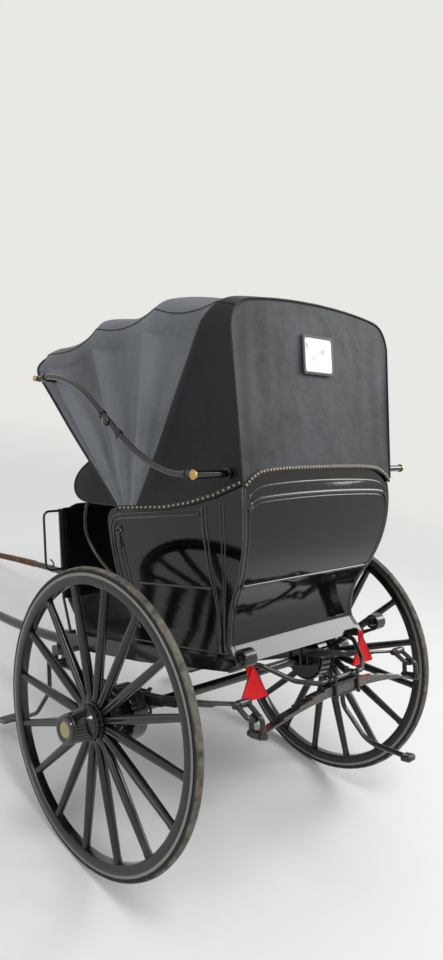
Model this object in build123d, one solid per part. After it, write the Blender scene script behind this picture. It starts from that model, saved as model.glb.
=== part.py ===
from build123d import *
import math
import os

os.makedirs("parts", exist_ok=True)

# A two-wheeled hooded gig: a light carriage drawn by one horse between two shafts.
# It is drawn level first, in millimetres: +X is its left side, -Y the way it travels, +Z up,
# with the ground under the wheels at Z 0 and the axle over Y 0. At the end the whole gig is
# tipped forward about its axle until the shaft tips rest on the ground, which is how it parks.

# Driving sizes, wheels
wheel_r = 610.0
track = 1484.0
spoke_count = 16
tyre_width = 34.0
tyre_depth = 30.0
channel_wall = 4.0
felloe_width = 46.0
felloe_depth = 38.0
spoke_turn = 11.25
spoke_foot_along = 40.0
spoke_foot_across = 22.0
spoke_belly_along = 42.0
spoke_belly_across = 38.0
spoke_head_d = 32.0
nave_r = 58.0
nave_flange_r = 82.0
nave_flange_wall = 8.0
cap_mouth_r = 69.0
cap_end_r = 55.0
cap_reach = 148.0
cap_wall = 7.0
cap_disc_r = 30.5
drum_r = 115.0
drum_width = 74.0
drum_wall = 6.0
running_gap = 6.0

# Driving sizes, axle and springs
axle_bar_r = 22.0
spindle_r = 20.0
bore_clear = 0.05
axle_nut_r = 30.0
axle_nut_wide = 16.0
side_spring_x = 516.0
side_spring_span = 590.0
side_spring_camber = 52.0
cross_spring_y = 655.0
cross_spring_z = 671.0
cross_spring_span = 510.0
cross_spring_camber = 52.0
leaf_width = 40.0
leaf_thick = 7.0
leaf_gap = 0.3
eye_r = 17.0
pin_r = 7.5
cheek_thick = 6.0
clip_bolt_r = 6.0
clip_plate = 8.0

# Driving sizes, shafts and under-frame
sill_x = 410.0
sill_width = 50.0
sill_front = -740.0
sill_low = 770.0
sill_rear = 472.0
sill_rear_low = 800.0
# columns: x, y, z, radius
shaft_route = [
    (sill_x, sill_front + 40, 797, 25.0),
    (438, -1120, 846, 24.5),
    (428, -1600, 925, 23.0),
    (372, -2200, 1026, 21.0),
    (308, -2700, 1092, 17.5),
    (286, -2960, 1118, 15.0),
]
iron_r = 10.0
trace_post_x = 300.0
trace_post_r = 9.0
trace_post_high = 43.0
reflector_side = 150.0
reflector_thick = 8.0
scroll_r = 40.0
scroll_width = 98.0

# Driving sizes, body
wall = 18.0
floor_thick = 18.0
body_bottom = 842.0
body_front = -222.0
side_top_x = 474.0
tail_top_y = 609.0
rail_top_z = 1505.0
seat_top = 1160.0
cushion_thick = 95.0
dash_y = -705.0
dash_half = 398.0
dash_top = 1455.0
dash_thick = 12.0
loop_reach = 98.0
board_clear = 18.0

# Driving sizes, hood
cover_thick = 8.0
bow_depth = 20.0
bow_width = 30.0
bow_foot_rise = 84.0
nail_lap = 12.0
stay_r = 9.0
seat_gap = 0.3

axle_line = Axis((0, 0, wheel_r), (1, 0, 0))
wheel_x = track / 2
tyre_inner_r = wheel_r - tyre_depth
felloe_outer_r = tyre_inner_r - channel_wall - seat_gap
felloe_inner_r = felloe_outer_r - felloe_depth
hub_inner_x = wheel_x - 102.0
hub_outer_x = wheel_x + 63.0


# Drawing helpers

def polygon(points):
    return make_face(Polyline(*points, close=True))


def turned(points):
    """Solid of revolution about the axle from (x, radius) points."""
    plane = Plane(origin=(0, 0, wheel_r), x_dir=(1, 0, 0), z_dir=(0, -1, 0))
    return revolve(plane * polygon(points), axle_line)


def side_slab(face, x0, x1):
    """A face drawn in (y, z) made solid from x0 to x1."""
    return extrude(Plane.YZ.offset(x0) * face, x1 - x0)


def front_slab(face, y0, y1):
    """A face drawn in (x, z) made solid from y0 to y1."""
    return extrude(Plane.XZ.offset(-y1) * face, y1 - y0)


def block(x0, x1, y0, y1, z0, z1):
    return Pos((x0 + x1) / 2, (y0 + y1) / 2, (z0 + z1) / 2) * Box(x1 - x0, y1 - y0, z1 - z0)


def bar_x(x0, x1, y, z, radius):
    """A round bar across the gig."""
    return extrude(Plane.YZ.offset(x0) * Pos(y, z) * Circle(radius), x1 - x0)


def bar_y(x, y0, y1, z, radius):
    """A round bar along the gig."""
    return extrude(Plane.XZ.offset(-y1) * Pos(x, z) * Circle(radius), y1 - y0)


def bar_z(x, y, z0, z1, radius):
    """An upright round bar."""
    return extrude(Plane.XY.offset(z0) * Pos(x, y) * Circle(radius), z1 - z0)


def rod(points, radius, bend):
    """A round iron bent along straight runs joined by arcs."""
    path = FilletPolyline(*points, radius=bend)
    return sweep(Plane(path @ 0, z_dir=path % 0) * Circle(radius), path=path)


def strap(p, q, rp, rq):
    """Face of a flat link with round ends about p and q."""
    ends = (Pos(*p) * Circle(rp)).edges() + (Pos(*q) * Circle(rq)).edges()
    return make_hull(ends)


def both_sides(shape):
    return {"left": shape, "right": mirror(shape, about=Plane.YZ)}


# Wheel pieces, drawn for the left wheel

def tyre():
    half = tyre_width / 2
    shoulder = wheel_r - 9.0
    face = make_face([
        Line((wheel_x - half, tyre_inner_r), (wheel_x + half, tyre_inner_r)),
        Line((wheel_x + half, tyre_inner_r), (wheel_x + half, shoulder)),
        ThreePointArc((wheel_x + half, shoulder), (wheel_x, wheel_r), (wheel_x - half, shoulder)),
        Line((wheel_x - half, shoulder), (wheel_x - half, tyre_inner_r)),
    ])
    plane = Plane(origin=(0, 0, wheel_r), x_dir=(1, 0, 0), z_dir=(0, -1, 0))
    return revolve(plane * face, axle_line)


def felloe():
    """Wooden rim with the steel channel that holds the rubber shrunk on to it."""
    half = felloe_width / 2
    lip_in = tyre_width / 2 + seat_gap
    lip_out = lip_in + channel_wall
    lip_top = tyre_inner_r + 7.0
    channel_base = tyre_inner_r - seat_gap
    bevel = 8.0
    return turned([
        (wheel_x - half + bevel, felloe_inner_r), (wheel_x + half - bevel, felloe_inner_r),
        (wheel_x + half, felloe_inner_r + bevel), (wheel_x + half, felloe_outer_r),
        (wheel_x + lip_out, felloe_outer_r), (wheel_x + lip_out, lip_top),
        (wheel_x + lip_in, lip_top), (wheel_x + lip_in, channel_base),
        (wheel_x - lip_in, channel_base), (wheel_x - lip_in, lip_top),
        (wheel_x - lip_out, lip_top), (wheel_x - lip_out, felloe_outer_r),
        (wheel_x - half, felloe_outer_r), (wheel_x - half, felloe_inner_r + bevel),
    ])


def spokes():
    """Tapered wooden spokes from the nave to the felloe."""
    foot_r = nave_r + 0.5
    head_r = felloe_inner_r - 0.5
    # columns: radius, half size along the axle, half size across
    sections = [
        (foot_r, spoke_foot_along / 2, spoke_foot_across / 2),
        (foot_r + 75.0, spoke_belly_along / 2, spoke_belly_across / 2),
        (head_r, spoke_head_d / 2, spoke_head_d / 2),
    ]
    one = loft([
        Plane(origin=(wheel_x, 0, wheel_r + r), x_dir=(1, 0, 0), z_dir=(0, 0, 1)) * Ellipse(a, b)
        for r, a, b in sections
    ])
    step = 360.0 / spoke_count
    turns = [spoke_turn + step * n for n in range(spoke_count)]
    return Compound([one.rotate(axle_line, turn).solid() for turn in turns])


def hub():
    """Nave: a barrel between two flanges that clamp the spoke feet, bored for the spindle."""
    bore_r = spindle_r + bore_clear
    seat = spoke_foot_along / 2 + seat_gap
    outer_in = wheel_x + seat
    outer_out = outer_in + nave_flange_wall
    inner_out = wheel_x - seat
    inner_in = inner_out - nave_flange_wall
    return turned([
        (hub_inner_x, bore_r), (hub_outer_x, bore_r), (hub_outer_x, nave_r),
        (outer_out, nave_r), (outer_out, nave_flange_r), (outer_in, nave_flange_r),
        (outer_in, nave_r), (inner_out, nave_r), (inner_out, nave_flange_r),
        (inner_in, nave_flange_r), (inner_in, nave_r), (hub_inner_x, nave_r),
    ])


def hub_cap():
    """Long hollow cap over the spindle's nut, with a sunk seat for its bright disc."""
    x0 = wheel_x + spoke_foot_along / 2 + seat_gap + nave_flange_wall
    x1 = wheel_x + cap_reach
    inner = nave_r + seat_gap
    return turned([
        (x0, inner), (hub_outer_x + seat_gap, inner), (hub_outer_x + seat_gap, cap_end_r - cap_wall),
        (x1 - cap_wall, cap_end_r - cap_wall), (x1 - cap_wall, 0), (x1 - 3.0, 0),
        (x1 - 3.0, cap_disc_r), (x1, cap_disc_r + 2.0), (x1, cap_end_r - 3.0),
        (x1 - 3.0, cap_end_r), (x0 + 24.0, cap_mouth_r), (x0, cap_mouth_r),
    ])


def brake_drum():
    x1 = hub_inner_x
    x0 = x1 - drum_width
    return turned([
        (x1, nave_flange_r - 40.0), (x1, drum_r), (x0, drum_r), (x0, drum_r - drum_wall),
        (x1 - drum_wall, drum_r - drum_wall), (x1 - drum_wall, nave_flange_r - 40.0),
    ])


# Axle, springs and their irons

drum_open_x = hub_inner_x - drum_width
backplate_x = drum_open_x - running_gap
flange_x = backplate_x - 4.0


def axle():
    """Straight bar with flanges for the brake plates and a nutted spindle at each end."""
    nut_x = hub_outer_x + running_gap
    half = turned([
        (0, 0), (nut_x + axle_nut_wide, 0), (nut_x + axle_nut_wide, axle_nut_r - 4.0),
        (nut_x + axle_nut_wide - 4.0, axle_nut_r), (nut_x, axle_nut_r), (nut_x, spindle_r),
        (backplate_x, spindle_r), (backplate_x, 45.0), (flange_x - 6.0, 45.0),
        (flange_x - 6.0, axle_bar_r), (0, axle_bar_r),
    ])
    return (half + mirror(half, about=Plane.YZ)).solid()


def backplate():
    """Fixed plate that closes the inboard side of the brake drum."""
    edge_r = drum_r - drum_wall - running_gap
    return turned([
        (backplate_x, spindle_r + 4.0), (backplate_x, edge_r), (backplate_x + 4.0, edge_r),
        (backplate_x + 4.0, spindle_r + 4.0),
    ])


def leaf_points(radius, angle, rise):
    """Point of a bent leaf, from its bend radius and the angle off its middle."""
    return (radius * math.sin(angle), rise - radius * math.cos(angle))


def leaf_pack(plane, span, camber, half_lengths, width):
    """A stack of bent leaves about a common centre, the longest rolled into an eye at each end."""
    bend = (span**2 + camber**2) / (2 * camber)
    leaves = []
    for n, half in enumerate(half_lengths):
        top = bend - leaf_thick / 2 + n * (leaf_thick + leaf_gap)
        low = top + leaf_thick
        turn = math.asin(half / top)
        rise = bend
        a = [leaf_points(top, -turn, rise), leaf_points(top, 0, rise), leaf_points(top, turn, rise)]
        b = [leaf_points(low, turn, rise), leaf_points(low, 0, rise), leaf_points(low, -turn, rise)]
        face = make_face([
            ThreePointArc(*a), Line(a[2], b[0]), ThreePointArc(*b), Line(b[2], a[0]),
        ])
        leaf = extrude(plane * face, width / 2, both=True)
        if n == 0:
            for end in (-span, span):
                eye = extrude(plane * Pos(end, camber) * Circle(eye_r), width / 2, both=True)
                bore = extrude(plane * Pos(end, camber) * Circle(pin_r + 0.2), width, both=True)
                leaf = leaf + eye - bore
        leaves.append(leaf.solid())
    return Compound(leaves)


def leaf_sag(span, camber, reach):
    """How far a bent leaf has left its tangent at a reach from its middle."""
    bend = (span**2 + camber**2) / (2 * camber)
    return bend - math.sqrt(bend**2 - reach**2)


leaf_steps = (1.0, 0.76, 0.58, 0.42, 0.27)
pack_depth = len(leaf_steps) * leaf_thick + (len(leaf_steps) - 1) * leaf_gap
spring_seat_z = wheel_r + axle_bar_r + 4.0
side_spring_z = spring_seat_z + pack_depth - leaf_thick / 2
side_eye_z = side_spring_z + side_spring_camber


def side_spring():
    plane = Plane(origin=(side_spring_x, 0, side_spring_z), x_dir=(0, 1, 0), z_dir=(1, 0, 0))
    return leaf_pack(plane, side_spring_span, side_spring_camber,
                     [side_spring_span * f for f in leaf_steps], leaf_width)


def cross_spring():
    plane = Plane(origin=(0, cross_spring_y, cross_spring_z), x_dir=(1, 0, 0), z_dir=(0, 1, 0))
    return leaf_pack(plane, cross_spring_span, cross_spring_camber,
                     [cross_spring_span * f for f in leaf_steps], leaf_width)


cross_eye_z = cross_spring_z - cross_spring_camber
cross_pack_top = cross_spring_z - leaf_thick / 2 + pack_depth


def axle_clip():
    """Plates above and below, drawn together by four bolts, that hold a side spring to the axle."""
    half_x = leaf_width / 2 + clip_bolt_r + 0.5
    half_y = 34.0
    sag = leaf_sag(side_spring_span, side_spring_camber, half_y + 8)
    top = spring_seat_z + pack_depth + sag + seat_gap
    low = wheel_r - axle_bar_r
    x = side_spring_x
    plate = clip_plate
    seat_z = spring_seat_z - seat_gap
    seat = block(x - leaf_width / 2, x + leaf_width / 2, -30, 30, wheel_r, seat_z)
    seat = seat - bar_x(x - 60, x + 60, 0, wheel_r, axle_bar_r)
    clip = block(x - half_x, x + half_x, -half_y - 8, half_y + 8, top, top + plate)
    clip += block(x - half_x, x + half_x, -half_y - 8, half_y + 8, low - plate, low)
    for sx in (-1, 1):
        for sy in (-1, 1):
            clip += bar_z(x + sx * half_x, sy * half_y, low - plate - 10, top + plate + 10, clip_bolt_r)
    return Compound(clip.solids() + seat.solids())


def spring_hanger():
    """Iron under the shaft whose two cheeks carry the front eye of a side spring."""
    y = -side_spring_span
    cheeks = leaf_width / 2
    z = side_eye_z
    under = sill_low
    hanger = block(sill_x - 20, side_spring_x + cheeks + cheek_thick, y - 26, y + 26, under - 8, under)
    face = strap((y, z), (y, under - 20), eye_r, 20.0)
    hanger += side_slab(face, side_spring_x + cheeks, side_spring_x + cheeks + cheek_thick)
    hanger += side_slab(face, side_spring_x - cheeks - cheek_thick, side_spring_x - cheeks)
    reach = cheeks + cheek_thick + 8
    hanger += bar_x(side_spring_x - reach, side_spring_x + reach, y, z, pin_r)
    return hanger.solid()


def shackle():
    """Double link: its upper cheeks take the side spring's eye, its lower ones the cross spring's."""
    half = leaf_width / 2
    knuckle_y = cross_spring_y - 2.0
    knuckle_z = (side_eye_z + cross_eye_z) / 2 + 6.0
    face = strap((side_spring_span, side_eye_z), (knuckle_y - 24, knuckle_z), eye_r, 13.0)
    link = side_slab(face, side_spring_x + half, side_spring_x + half + cheek_thick)
    link += side_slab(face, side_spring_x - half - cheek_thick, side_spring_x - half)
    low_x = min(side_spring_x - half - cheek_thick, cross_spring_span - eye_r)
    high_x = max(side_spring_x + half + cheek_thick, cross_spring_span + eye_r)
    link += block(low_x, high_x, cross_spring_y - half - cheek_thick,
                  cross_spring_y + half + cheek_thick, knuckle_z - 12, knuckle_z + 12)
    drop = strap((cross_spring_span, cross_eye_z), (cross_spring_span, knuckle_z), eye_r, eye_r)
    for y0 in (cross_spring_y + half, cross_spring_y - half - cheek_thick):
        link += front_slab(drop, y0, y0 + cheek_thick)
    reach = half + cheek_thick + 8
    link += bar_x(side_spring_x - reach, side_spring_x + reach, side_spring_span, side_eye_z, pin_r)
    link += bar_y(cross_spring_span, cross_spring_y - reach, cross_spring_y + reach, cross_eye_z, pin_r)
    return link.solid()


clip_reach = 85.0
cross_clip_low = (cross_spring_z - leaf_thick / 2 - seat_gap
                  - leaf_sag(cross_spring_span, cross_spring_camber, clip_reach))


def cross_clip():
    """Plates and bolts at the middle of the cross spring."""
    half_y = leaf_width / 2 + clip_bolt_r + 0.5
    reach = clip_reach
    low = cross_clip_low
    top = cross_pack_top
    clip = block(-reach, reach, cross_spring_y - half_y, cross_spring_y + half_y, top, top + clip_plate)
    clip += block(-reach, reach, cross_spring_y - half_y, cross_spring_y + half_y,
                  low - clip_plate, low)
    for x in (-reach + 12, reach - 12):
        for y in (cross_spring_y - half_y, cross_spring_y + half_y):
            clip += bar_z(x, y, low - clip_plate - 10, top + clip_plate + 26, clip_bolt_r)
        clip += block(x - clip_bolt_r, x + clip_bolt_r, cross_spring_y - half_y,
                      cross_spring_y + half_y, top + clip_plate + 2 * iron_r, top + clip_plate + 26)
    trim = bar_x(-reach * 2, reach * 2, cross_spring_y, top + clip_plate + iron_r, iron_r)
    return (clip - trim).solid()


def rear_iron():
    """Curved iron that carries the body's tail on the middle of the cross spring."""
    z_end = cross_pack_top + clip_plate + iron_r
    z_start = rear_bar_low - iron_r
    half = [(330, 400, z_start), (305, 500, z_start), (225, 600, z_end + 20), (140, cross_spring_y, z_end)]
    points = half + [(-x, y, z) for x, y, z in reversed(half)]
    return rod(points, iron_r, [60, 60, 60, 60, 60, 60])


def rear_step():
    """Curved step iron from the cross spring's clip, with a small tread at its end."""
    z = cross_clip_low - clip_plate
    points = [(0, cross_spring_y, z), (0, cross_spring_y, z - 50), (0, cross_spring_y + 110, z - 175),
              (0, 946, 458)]
    step = rod(points, iron_r, [60, 110])
    tread = block(-24, 24, 925, 965, 446, 470)
    return (step + fillet(tread.edges(), 6)).solid()


# Shafts and under-frame

foot_rise = 20.0
foot_start = 430.0
rear_bar_low = 816.0


def shaft():
    """Ash shaft: a flat-sided timber under the body that runs forward into a tapered round."""
    face = polygon([
        (sill_front, sill_low), (-100, sill_low), (sill_rear, sill_rear_low),
        (sill_rear, body_bottom - foot_rise - seat_gap), (foot_start, body_bottom - seat_gap),
        (foot_start - 1, body_bottom), (sill_front + 50, body_bottom), (sill_front, 822),
    ])
    timber = side_slab(face, sill_x - sill_width / 2, sill_x + sill_width / 2)
    faces = []
    for n, (x, y, z, r) in enumerate(shaft_route):
        before = shaft_route[max(n - 1, 0)]
        after = shaft_route[min(n + 1, len(shaft_route) - 1)]
        along = Vector(*after[:3]) - Vector(*before[:3])
        faces.append(Plane(origin=(x, y, z), z_dir=along) * Circle(r))
    pole = loft(faces)
    *tip, tip_r = shaft_route[-1]
    return (timber + pole + Pos(*tip) * Sphere(tip_r)).solid()


def cross_bar(y0, y1, z0, z1):
    inner = sill_x - sill_width / 2
    return block(-inner, inner, y0, y1, z0, z1)


def splinter_bar():
    """Bar under the shafts' front ends with a collared post on each side for the trace's eye."""
    half = sill_x + sill_width / 2 + 12
    post_y = sill_front - 10
    collar = sill_low + 6
    bar = block(-half, half, sill_front - 26, sill_front + 26, sill_low - 40, sill_low)
    bar = fillet(bar.edges().filter_by(Axis.X), 10)
    for x in (-trace_post_x, trace_post_x):
        bar += bar_z(x, post_y, sill_low - 1, collar, trace_post_r + 7)
        post = bar_z(x, post_y, sill_low - 1, collar + trace_post_high + 3, trace_post_r)
        bar += chamfer(post.edges().group_by(Axis.Z)[-1], 3)
    return bar.solid()


scroll_neck_x = sill_x - 24


def rear_scroll():
    """Rolled end of the body's iron, standing out behind the sill."""
    x1 = sill_x + 55
    x0 = x1 - scroll_width
    centre = (536.0, 866.0)
    roll = side_slab(Pos(*centre) * Circle(scroll_r), x0, x1)
    start = sill_rear + seat_gap
    neck = side_slab(polygon([(start, sill_rear_low), (start, body_bottom - foot_rise - 1), (500, 846),
                              centre, (545, 830), (510, 806)]), scroll_neck_x, scroll_neck_x + 48)
    hole = side_slab(Pos(*centre) * Circle(17), x0 - 10, x1 + 10)
    return (roll + neck - hole).solid()


def reflector():
    """Triangular red reflector, point up, on a short lug below the scroll."""
    x = 360.0
    y = 500.0
    top = 818.0
    high = reflector_side * math.sqrt(3) / 2
    face = polygon([(x, top), (x + reflector_side / 2, top - high), (x - reflector_side / 2, top - high)])
    plate = front_slab(face, y, y + reflector_thick)
    lug = block(x - 10, scroll_neck_x, y - 6, y, top - 28, top + 12)
    return (plate + lug).solid()


# Body

def rear_ogee():
    """Edges of the tail's outline in (y, z): flared foot, hollow waist, full top."""
    turn = TangentArc((430, 908), (436, 884), tangent=(0, -1))
    flare = Line(turn @ 1, (473, 822))
    hollow = TangentArc((430, 908), (494, 1095), tangent=(0, 1))
    full = TangentArc(hollow @ 1, (tail_top_y, rail_top_z), tangent=hollow % 1)
    return flare, turn, hollow, full


def side_ogee():
    """The same form seen from behind, in (x, z), for the left side."""
    foot = TangentArc((400, 930), (411, 842), tangent=(0, -1))
    hollow = TangentArc((400, 930), (426, 1110), tangent=(0, 1))
    full = TangentArc(hollow @ 1, (side_top_x, rail_top_z), tangent=hollow % 1)
    return foot, hollow, full


top_limit = 1640.0
low_limit = 790.0


def tail_face(inset):
    """All that lies ahead of the tail's outline, inset by a wall."""
    flare, turn, hollow, full = rear_ogee()
    end = flare @ 1
    head = full @ 1
    lean = Line(head, (head.X, top_limit))
    tail = Line(end, (end.X, low_limit))
    front = [Line((head.X, top_limit), (-900, top_limit)), Line((-900, top_limit), (-900, low_limit)),
             Line((-900, low_limit), (end.X, low_limit))]
    face = make_face([flare, turn, hollow, full, lean, tail] + front)
    return offset(face, -inset) if inset else face


def section_face(inset):
    """All that lies between the body's two sides, seen from behind, inset by a wall."""
    foot, hollow, full = side_ogee()
    end = foot @ 1
    head = full @ 1
    edges = [foot, hollow, full, Line(head, (head.X, top_limit)), Line(end, (end.X, low_limit)),
             Line((head.X, top_limit), (0, top_limit)), Line((end.X, low_limit), (0, low_limit)),
             Line((0, top_limit), (0, low_limit))]
    half = make_face(edges)
    face = half + mirror(half, about=Plane.YZ)
    return offset(face, -inset) if inset else face


def rail_face():
    """Everything below the line where the hood is nailed down, in (y, z)."""
    return polygon([(-900, 700), (-900, 1440), (170, 1438), (320, 1452), (463, 1479), (600, 1520),
                    (700, 1548), (700, 700)])


def tail_arch():
    """Raised middle of the tail's top edge, in (x, z)."""
    return polygon([(-700, 700), (-700, 1440), (-474, 1505), (-432, 1538), (-360, 1566), (360, 1566),
                    (432, 1538), (474, 1505), (700, 1440), (700, 700)])


def body_zone():
    """The space under the hood's nailed edge."""
    return side_slab(rail_face(), -700, 700) + front_slab(tail_arch(), 500, 720)


def side_cut():
    """Outline of a side panel in (y, z), with its rounded front corner and hollow foot."""
    z_top = 1600.0
    corner = 60.0
    rail = 1440.0
    edges = [
        Line((700, z_top), (body_front + corner, z_top)),
        Line((body_front + corner, z_top), (body_front + corner, rail)),
        ThreePointArc((body_front + corner, rail), (body_front + 17.6, rail - 17.6),
                      (body_front, rail - corner)),
        Line((body_front, rail - corner), (body_front, 1010)),
        ThreePointArc((body_front, 1010), (-180, 925), (-262, body_bottom)),
        Line((-262, body_bottom), (foot_start, body_bottom)),
        Line((foot_start, body_bottom), (sill_rear, body_bottom - foot_rise)),
        Line((sill_rear, body_bottom - foot_rise), (700, body_bottom - foot_rise)),
        Line((700, body_bottom - foot_rise), (700, z_top)),
    ]
    return make_face(edges)


def body_shell():
    """Walls of the body before they are parted into panels."""
    outer = side_slab(tail_face(0), -700, 700) & front_slab(section_face(0), -900, 720)
    inner = side_slab(tail_face(wall), -700, 700) & front_slab(section_face(wall), -900, 720)
    walls = (outer - inner) & side_slab(side_cut(), -700, 700)
    return walls & body_zone()


def rear_panel(shell):
    between = front_slab(section_face(wall), -900, 720)
    return (shell & between).solid()


def side_panel(shell):
    between = front_slab(section_face(wall), -900, 720)
    outer = (shell - between) & block(0, 700, -900, 720, 600, 1700)
    return max(outer.solids(), key=lambda s: s.volume)


def floor_board():
    half = 400.0 - wall - 0.5
    board = block(-half, half, -600, 416, body_bottom, body_bottom + floor_thick)
    return board


def footboard():
    """Sloping board from the floor's front edge up to the dash."""
    face = polygon([(-600, body_bottom), (-600, body_bottom + floor_thick), (dash_y + 6, 1004),
                    (dash_y - 6, 990)])
    return side_slab(face, -dash_half + board_clear, dash_half - board_clear)


def dash():
    """Leather-covered panel that stands across the front, with a raised middle."""
    low = 1004.0
    shoulder = dash_top - 20
    step = dash_half - 53
    rise = dash_half - 98
    edges = [
        Line((-dash_half, low), (dash_half, low)),
        Line((dash_half, low), (dash_half, shoulder)),
        Line((dash_half, shoulder), (step, shoulder)),
        TangentArc((step, shoulder), (rise, dash_top), tangent=(-1, 0.3)),
        Line((rise, dash_top), (-rise, dash_top)),
        TangentArc((-step, shoulder), (-rise, dash_top), tangent=(1, 0.3)),
        Line((-step, shoulder), (-dash_half, shoulder)),
        Line((-dash_half, shoulder), (-dash_half, low)),
    ]
    return front_slab(make_face(edges), dash_y - dash_thick / 2, dash_y + dash_thick / 2)


def dash_iron():
    """Hand loop at the dash's side and the foot that holds the dash on the shaft."""
    r = 7.0
    x0 = dash_half + r
    x1 = dash_half + loop_reach
    high = dash_top - 25
    low = high - 284
    loop = rod([(x0, dash_y, high), (x1, dash_y, high), (x1, dash_y, low), (x0, dash_y, low)], 6, 30)
    post = rod([(x0, dash_y, high + 10), (x0, dash_y, 1000), (x0, dash_y + 45, body_bottom + 4)], r, 40)
    foot = block(min(x0, sill_x) - 16, max(x0, sill_x) + 16, dash_y + 20, dash_y + 70,
                 body_bottom, body_bottom + 8)
    return (loop + post + foot).solid()


def seat_box():
    """Seat board on a front riser, between the side panels."""
    half = 404.0
    board = block(-half, half, -110, 462, seat_top - 18, seat_top)
    low = block(-380, 380, -110, -92, body_bottom + floor_thick, seat_top - 18)
    return (board + low).solid()


def seat_cushion():
    half = 400.0
    pad = block(-half, half, -128, 400, seat_top, seat_top + cushion_thick)
    return fillet(pad.edges(), 24)


def back_cushion():
    half = 410.0
    base = seat_top + seat_gap
    face = polygon([(404, base), (490, base), (550, 1330), (570, 1500), (520, 1500),
                    (470, 1320)])
    return side_slab(face, -half, half)


# Hood

hood_rear = tail_face(0).bounding_box().max.X + seat_gap + cover_thick

hood_front = -740.0
hood_base_z = 1400.0
hood_waist_z = 1900.0
hood_foot_half = section_face(0).bounding_box().max.X + seat_gap + cover_thick
hood_hip_half = 507.0
hood_hip_z = 2110.0
bow_foot = (-120.0, 1470.0)

# One row per bow, from the front. columns: y and z where the bow crosses the roof's side seam,
# crown height, drops to the crown's edge, the corner's middle and the side, sag of the bay behind
bow_table = [
    (-623, 2162, 2233, 17, 56, 119, 34),
    (-237, 2214, 2322, 34, 92, 171, 36),
    (151, 2222, 2337, 42, 94, 177, 30),
    (498, 2169, 2248, 20, 47, 111, 0),
]
# crown height and the three drops, at the two upright ends
hood_front_arch = (2205, 24, 78, 150)
hood_rear_arch = (2232, 26, 54, 112)
# how far across a bay, from 0 to 1, each arch between two bows stands
sag_places = [0.28, 0.72]


def cover_side(z):
    """Half width of the cover's upright side at a height."""
    rise = (z - rail_top_z) / (hood_hip_z - rail_top_z)
    return hood_foot_half + (hood_hip_half - hood_foot_half) * rise


def bow_lean(y, z):
    """How far back a plane through the pivots goes for each millimetre up."""
    return (y - bow_foot[0]) / (z - bow_foot[1])


def hood_section(y, lean, crown, edge, mid, side, inset, foot_z):
    """An arch across the roof in a leaned plane: upright ends, round corners, crowned top."""
    def spot(x, z):
        return (x, y + lean * (z - bow_foot[1]), z)

    foot_x = cover_side(foot_z) - inset
    hip_z = crown - side - inset
    hip_x = cover_side(hip_z) - inset
    knee_x, knee_z = 484 - inset, crown - mid - inset
    brow_x, brow_z = 404 - inset, crown - edge - inset
    edges = [
        Line(spot(-foot_x, foot_z), spot(foot_x, foot_z)),
        Line(spot(foot_x, foot_z), spot(hip_x, hip_z)),
        ThreePointArc(spot(hip_x, hip_z), spot(knee_x, knee_z), spot(brow_x, brow_z)),
        ThreePointArc(spot(brow_x, brow_z), spot(0, crown - inset), spot(-brow_x, brow_z)),
        ThreePointArc(spot(-brow_x, brow_z), spot(-knee_x, knee_z), spot(-hip_x, hip_z)),
        Line(spot(-hip_x, hip_z), spot(-foot_x, foot_z)),
    ]
    return make_face(edges)


def bow_faces(y, z, crown, *drops):
    """The arches in the front and back faces of one bow."""
    lean = bow_lean(y, z)
    half = bow_width / 2 * math.hypot(1, lean)
    return [(bow_foot[0] - half, lean, crown, *drops), (bow_foot[0] + half, lean, crown, *drops)]


def hood_rows(rear):
    """Arches from front to rear: the upright ends, each bow, and the cloth sagging between."""
    rows = [(hood_front, 0.0, *hood_front_arch)]
    for here, behind in zip(bow_table, bow_table[1:]):
        rows += bow_faces(*here[:6])
        for share in sag_places:
            y, z, crown, *drops = [a + (b - a) * share for a, b in zip(here[:6], behind[:6])]
            crown -= here[6] * 4 * share * (1 - share)
            rows.append((bow_foot[0], bow_lean(y, z), crown, *drops))
    return rows + bow_faces(*bow_table[-1][:6]) + [(rear, 0.0, *hood_rear_arch)]


def hood_form(inset, rear):
    """The room under the hood's outside, drawn in by inset: flat sides with the arched roof."""
    sections = [hood_section(*row, inset, hood_waist_z) for row in hood_rows(rear)]
    foot, waist = hood_foot_half - inset, cover_side(hood_waist_z) - inset
    low = hood_base_z - (20 if inset else 0)
    half = [(foot, low), (foot, rail_top_z), (waist, hood_waist_z)]
    face = polygon([*half, *[(-x, z) for x, z in reversed(half)]])
    return loft(sections, ruled=True) + front_slab(face, hood_front, rear)


hood_mouth = [(-128, 1440), (-692, 2077)]


def front_cut():
    """All that lies ahead of the hood's front edge, in (y, z)."""
    return polygon([*hood_mouth, (-716, 2104), (-716, 2400), (-1200, 2400),
                    (-1200, 1300), (-128, 1300)])


def hood_cover():
    shell = hood_form(0, hood_rear) - hood_form(cover_thick, hood_rear - cover_thick)
    shell = shell - side_slab(front_cut(), -700, 700) - Pos(0, 0, -nail_lap) * body_zone()
    return max(shell.solids(), key=lambda s: s.volume)


def hood_bows():
    """Bent wooden bows that fan out from the hood's pivots and carry the cover."""
    foot_z = bow_foot[1] + bow_foot_rise
    outside, inside = cover_thick + seat_gap, cover_thick + bow_depth
    bows = []
    for row in bow_table:
        faces = bow_faces(*row[:6])
        outer = [hood_section(*face, outside, foot_z) for face in faces]
        inner = [hood_section(*face, inside, foot_z - 20) for face in faces]
        bows += (loft(outer, ruled=True) - loft(inner, ruled=True)).solids()
    return Compound(bows)


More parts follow.
